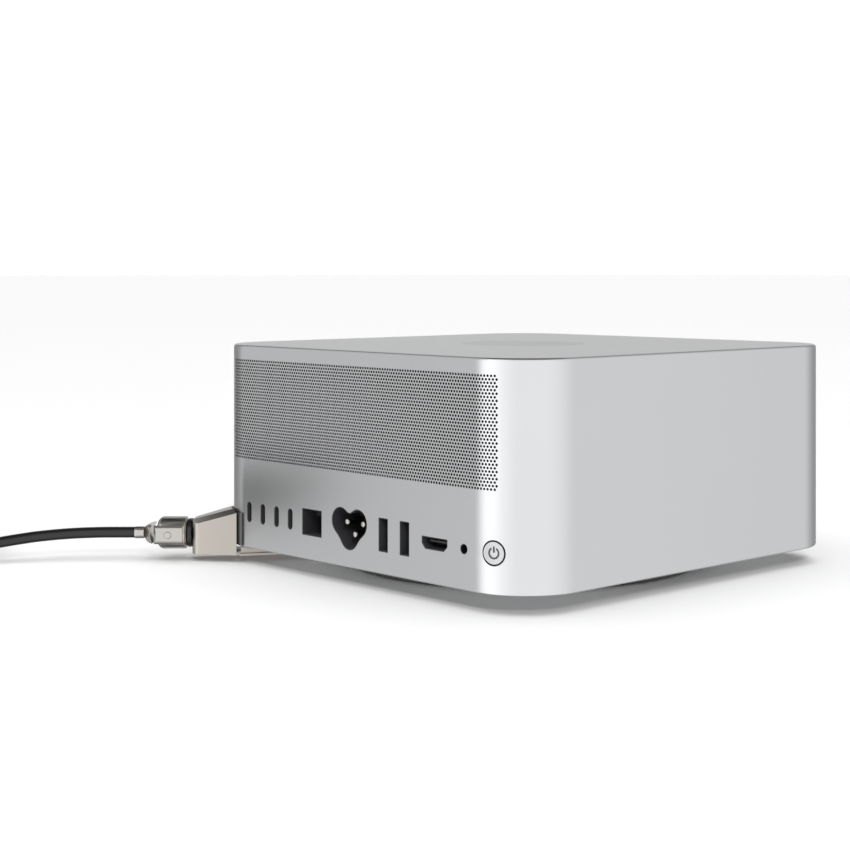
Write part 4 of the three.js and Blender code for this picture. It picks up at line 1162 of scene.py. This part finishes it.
# %% Make the floor and the lights
floor_mesh = bmesh.new()
bmesh.ops.create_grid(floor_mesh, x_segments=1, y_segments=1, size=60)
floor_data = bpy.data.meshes.new("floor")
floor_mesh.to_mesh(floor_data)
floor_mesh.free()
floor = add_object("floor", floor_data)
paper = bpy.data.materials.new("paper_white")
paper.use_nodes = True
for key, value in {"Base Color": linear("#F4F4F4"), "Roughness": 0.9, "Specular IOR Level": 0.1}.items():
    paper.node_tree.nodes["Principled BSDF"].inputs[key].default_value = value
floor_data.materials.append(paper)

world = bpy.data.worlds.new("light_tent")
bpy.context.scene.world = world
world.use_nodes = True
sky = world.node_tree.nodes["Background"]
sky.inputs["Color"].default_value = (1.0, 1.0, 1.0, 1.0)
tree = world.node_tree
AMBIENT, BACKDROP, BRIGHTEST, ROOF_LEVEL, TABLE_LEVEL = 0.2, 1.1, 2.0, 0.4, 0.35
# Share of the brightest panel that each direction shows, with the angle counted from +X towards +Y.
TENT_WALLS = {-180: 0.7, -155: 0.62, -140: 0.54, -126: 0.54, -108: 0.34, -90: 0.2, -75: 0.2, -62: 0.37,
              -28: 0.37, -12: 0.15, 15: 0.22, 24: 0.46, 36: 0.38, 48: 0.35, 54: 0.62, 62: 0.96, 80: 0.96,
              95: 0.8, 119: 0.69, 150: 0.7, 180: 0.7}


def product(first, second):
    node = add_node(tree, "ShaderNodeMath", {"operation": "MULTIPLY"})
    tree.links.new(first, node.inputs[0])
    tree.links.new(second, node.inputs[1])
    return node.outputs["Value"]


direction = add_node(tree, "ShaderNodeTexCoord").outputs["Generated"]
around = add_node(tree, "ShaderNodeTexGradient", {"gradient_type": "RADIAL"}, {"Vector": direction})
walls = add_node(tree, "ShaderNodeValToRGB", {}, {"Fac": around.outputs["Fac"]})
stops = walls.color_ramp.elements
for angle, share in TENT_WALLS.items():
    stop = stops[0] if angle == -180 else stops[-1] if angle == 180 else stops.new(angle / 360 + 0.5)
    stop.color = (share, share, share, 1)
height = add_node(tree, "ShaderNodeSeparateXYZ", {}, {"Vector": direction}).outputs["Z"]
roof = add_node(tree, "ShaderNodeMapRange",
                {"From Min": 0.68, "From Max": 0.82, "To Min": BRIGHTEST, "To Max": ROOF_LEVEL},
                {"Value": height})
table = add_node(tree, "ShaderNodeMapRange", {"From Min": -0.95, "From Max": -0.75, "To Min": TABLE_LEVEL},
                 {"Value": height})
tent = product(product(walls.outputs["Color"], roof.outputs["Result"]), table.outputs["Result"])
ray = add_node(tree, "ShaderNodeLightPath")
shiny = add_node(tree, "ShaderNodeMapRange", {"To Min": AMBIENT},
                 {"Value": ray.outputs["Is Glossy Ray"], "To Max": tent})
level = add_node(tree, "ShaderNodeMapRange", {"To Max": BACKDROP},
                 {"Value": ray.outputs["Is Camera Ray"], "To Min": shiny.outputs["Result"]})
tree.links.new(level.outputs["Result"], sky.inputs["Strength"])


def add_light(name, kind, position, aim, energy, **settings):
    data = bpy.data.lights.new(name, kind)
    data.energy = energy
    for key, value in settings.items():
        setattr(data, key, value)
    made = add_object(name, data)
    made.matrix_world = looking(position, Vector(aim) - Vector(position))
    return made


roof_light = add_light("tent_roof", "SUN", (0, 0, 2), (0.05, 0, 0), 2.7, angle=math.radians(95))
side_light = add_light("side_lamp", "AREA", (-1.7, 1.2, 1.2), (0, 0, 0.05), 14.0, shape="DISK", size=0.35)
# Neither lamp nor the floor shows in the metal, so the tent alone shapes its highlights.
for item in (roof_light, side_light, floor):
    item.visible_glossy = False
bpy.context.scene.view_settings.view_transform = "Standard"
print("lights", [light.name for light in bpy.data.lights])
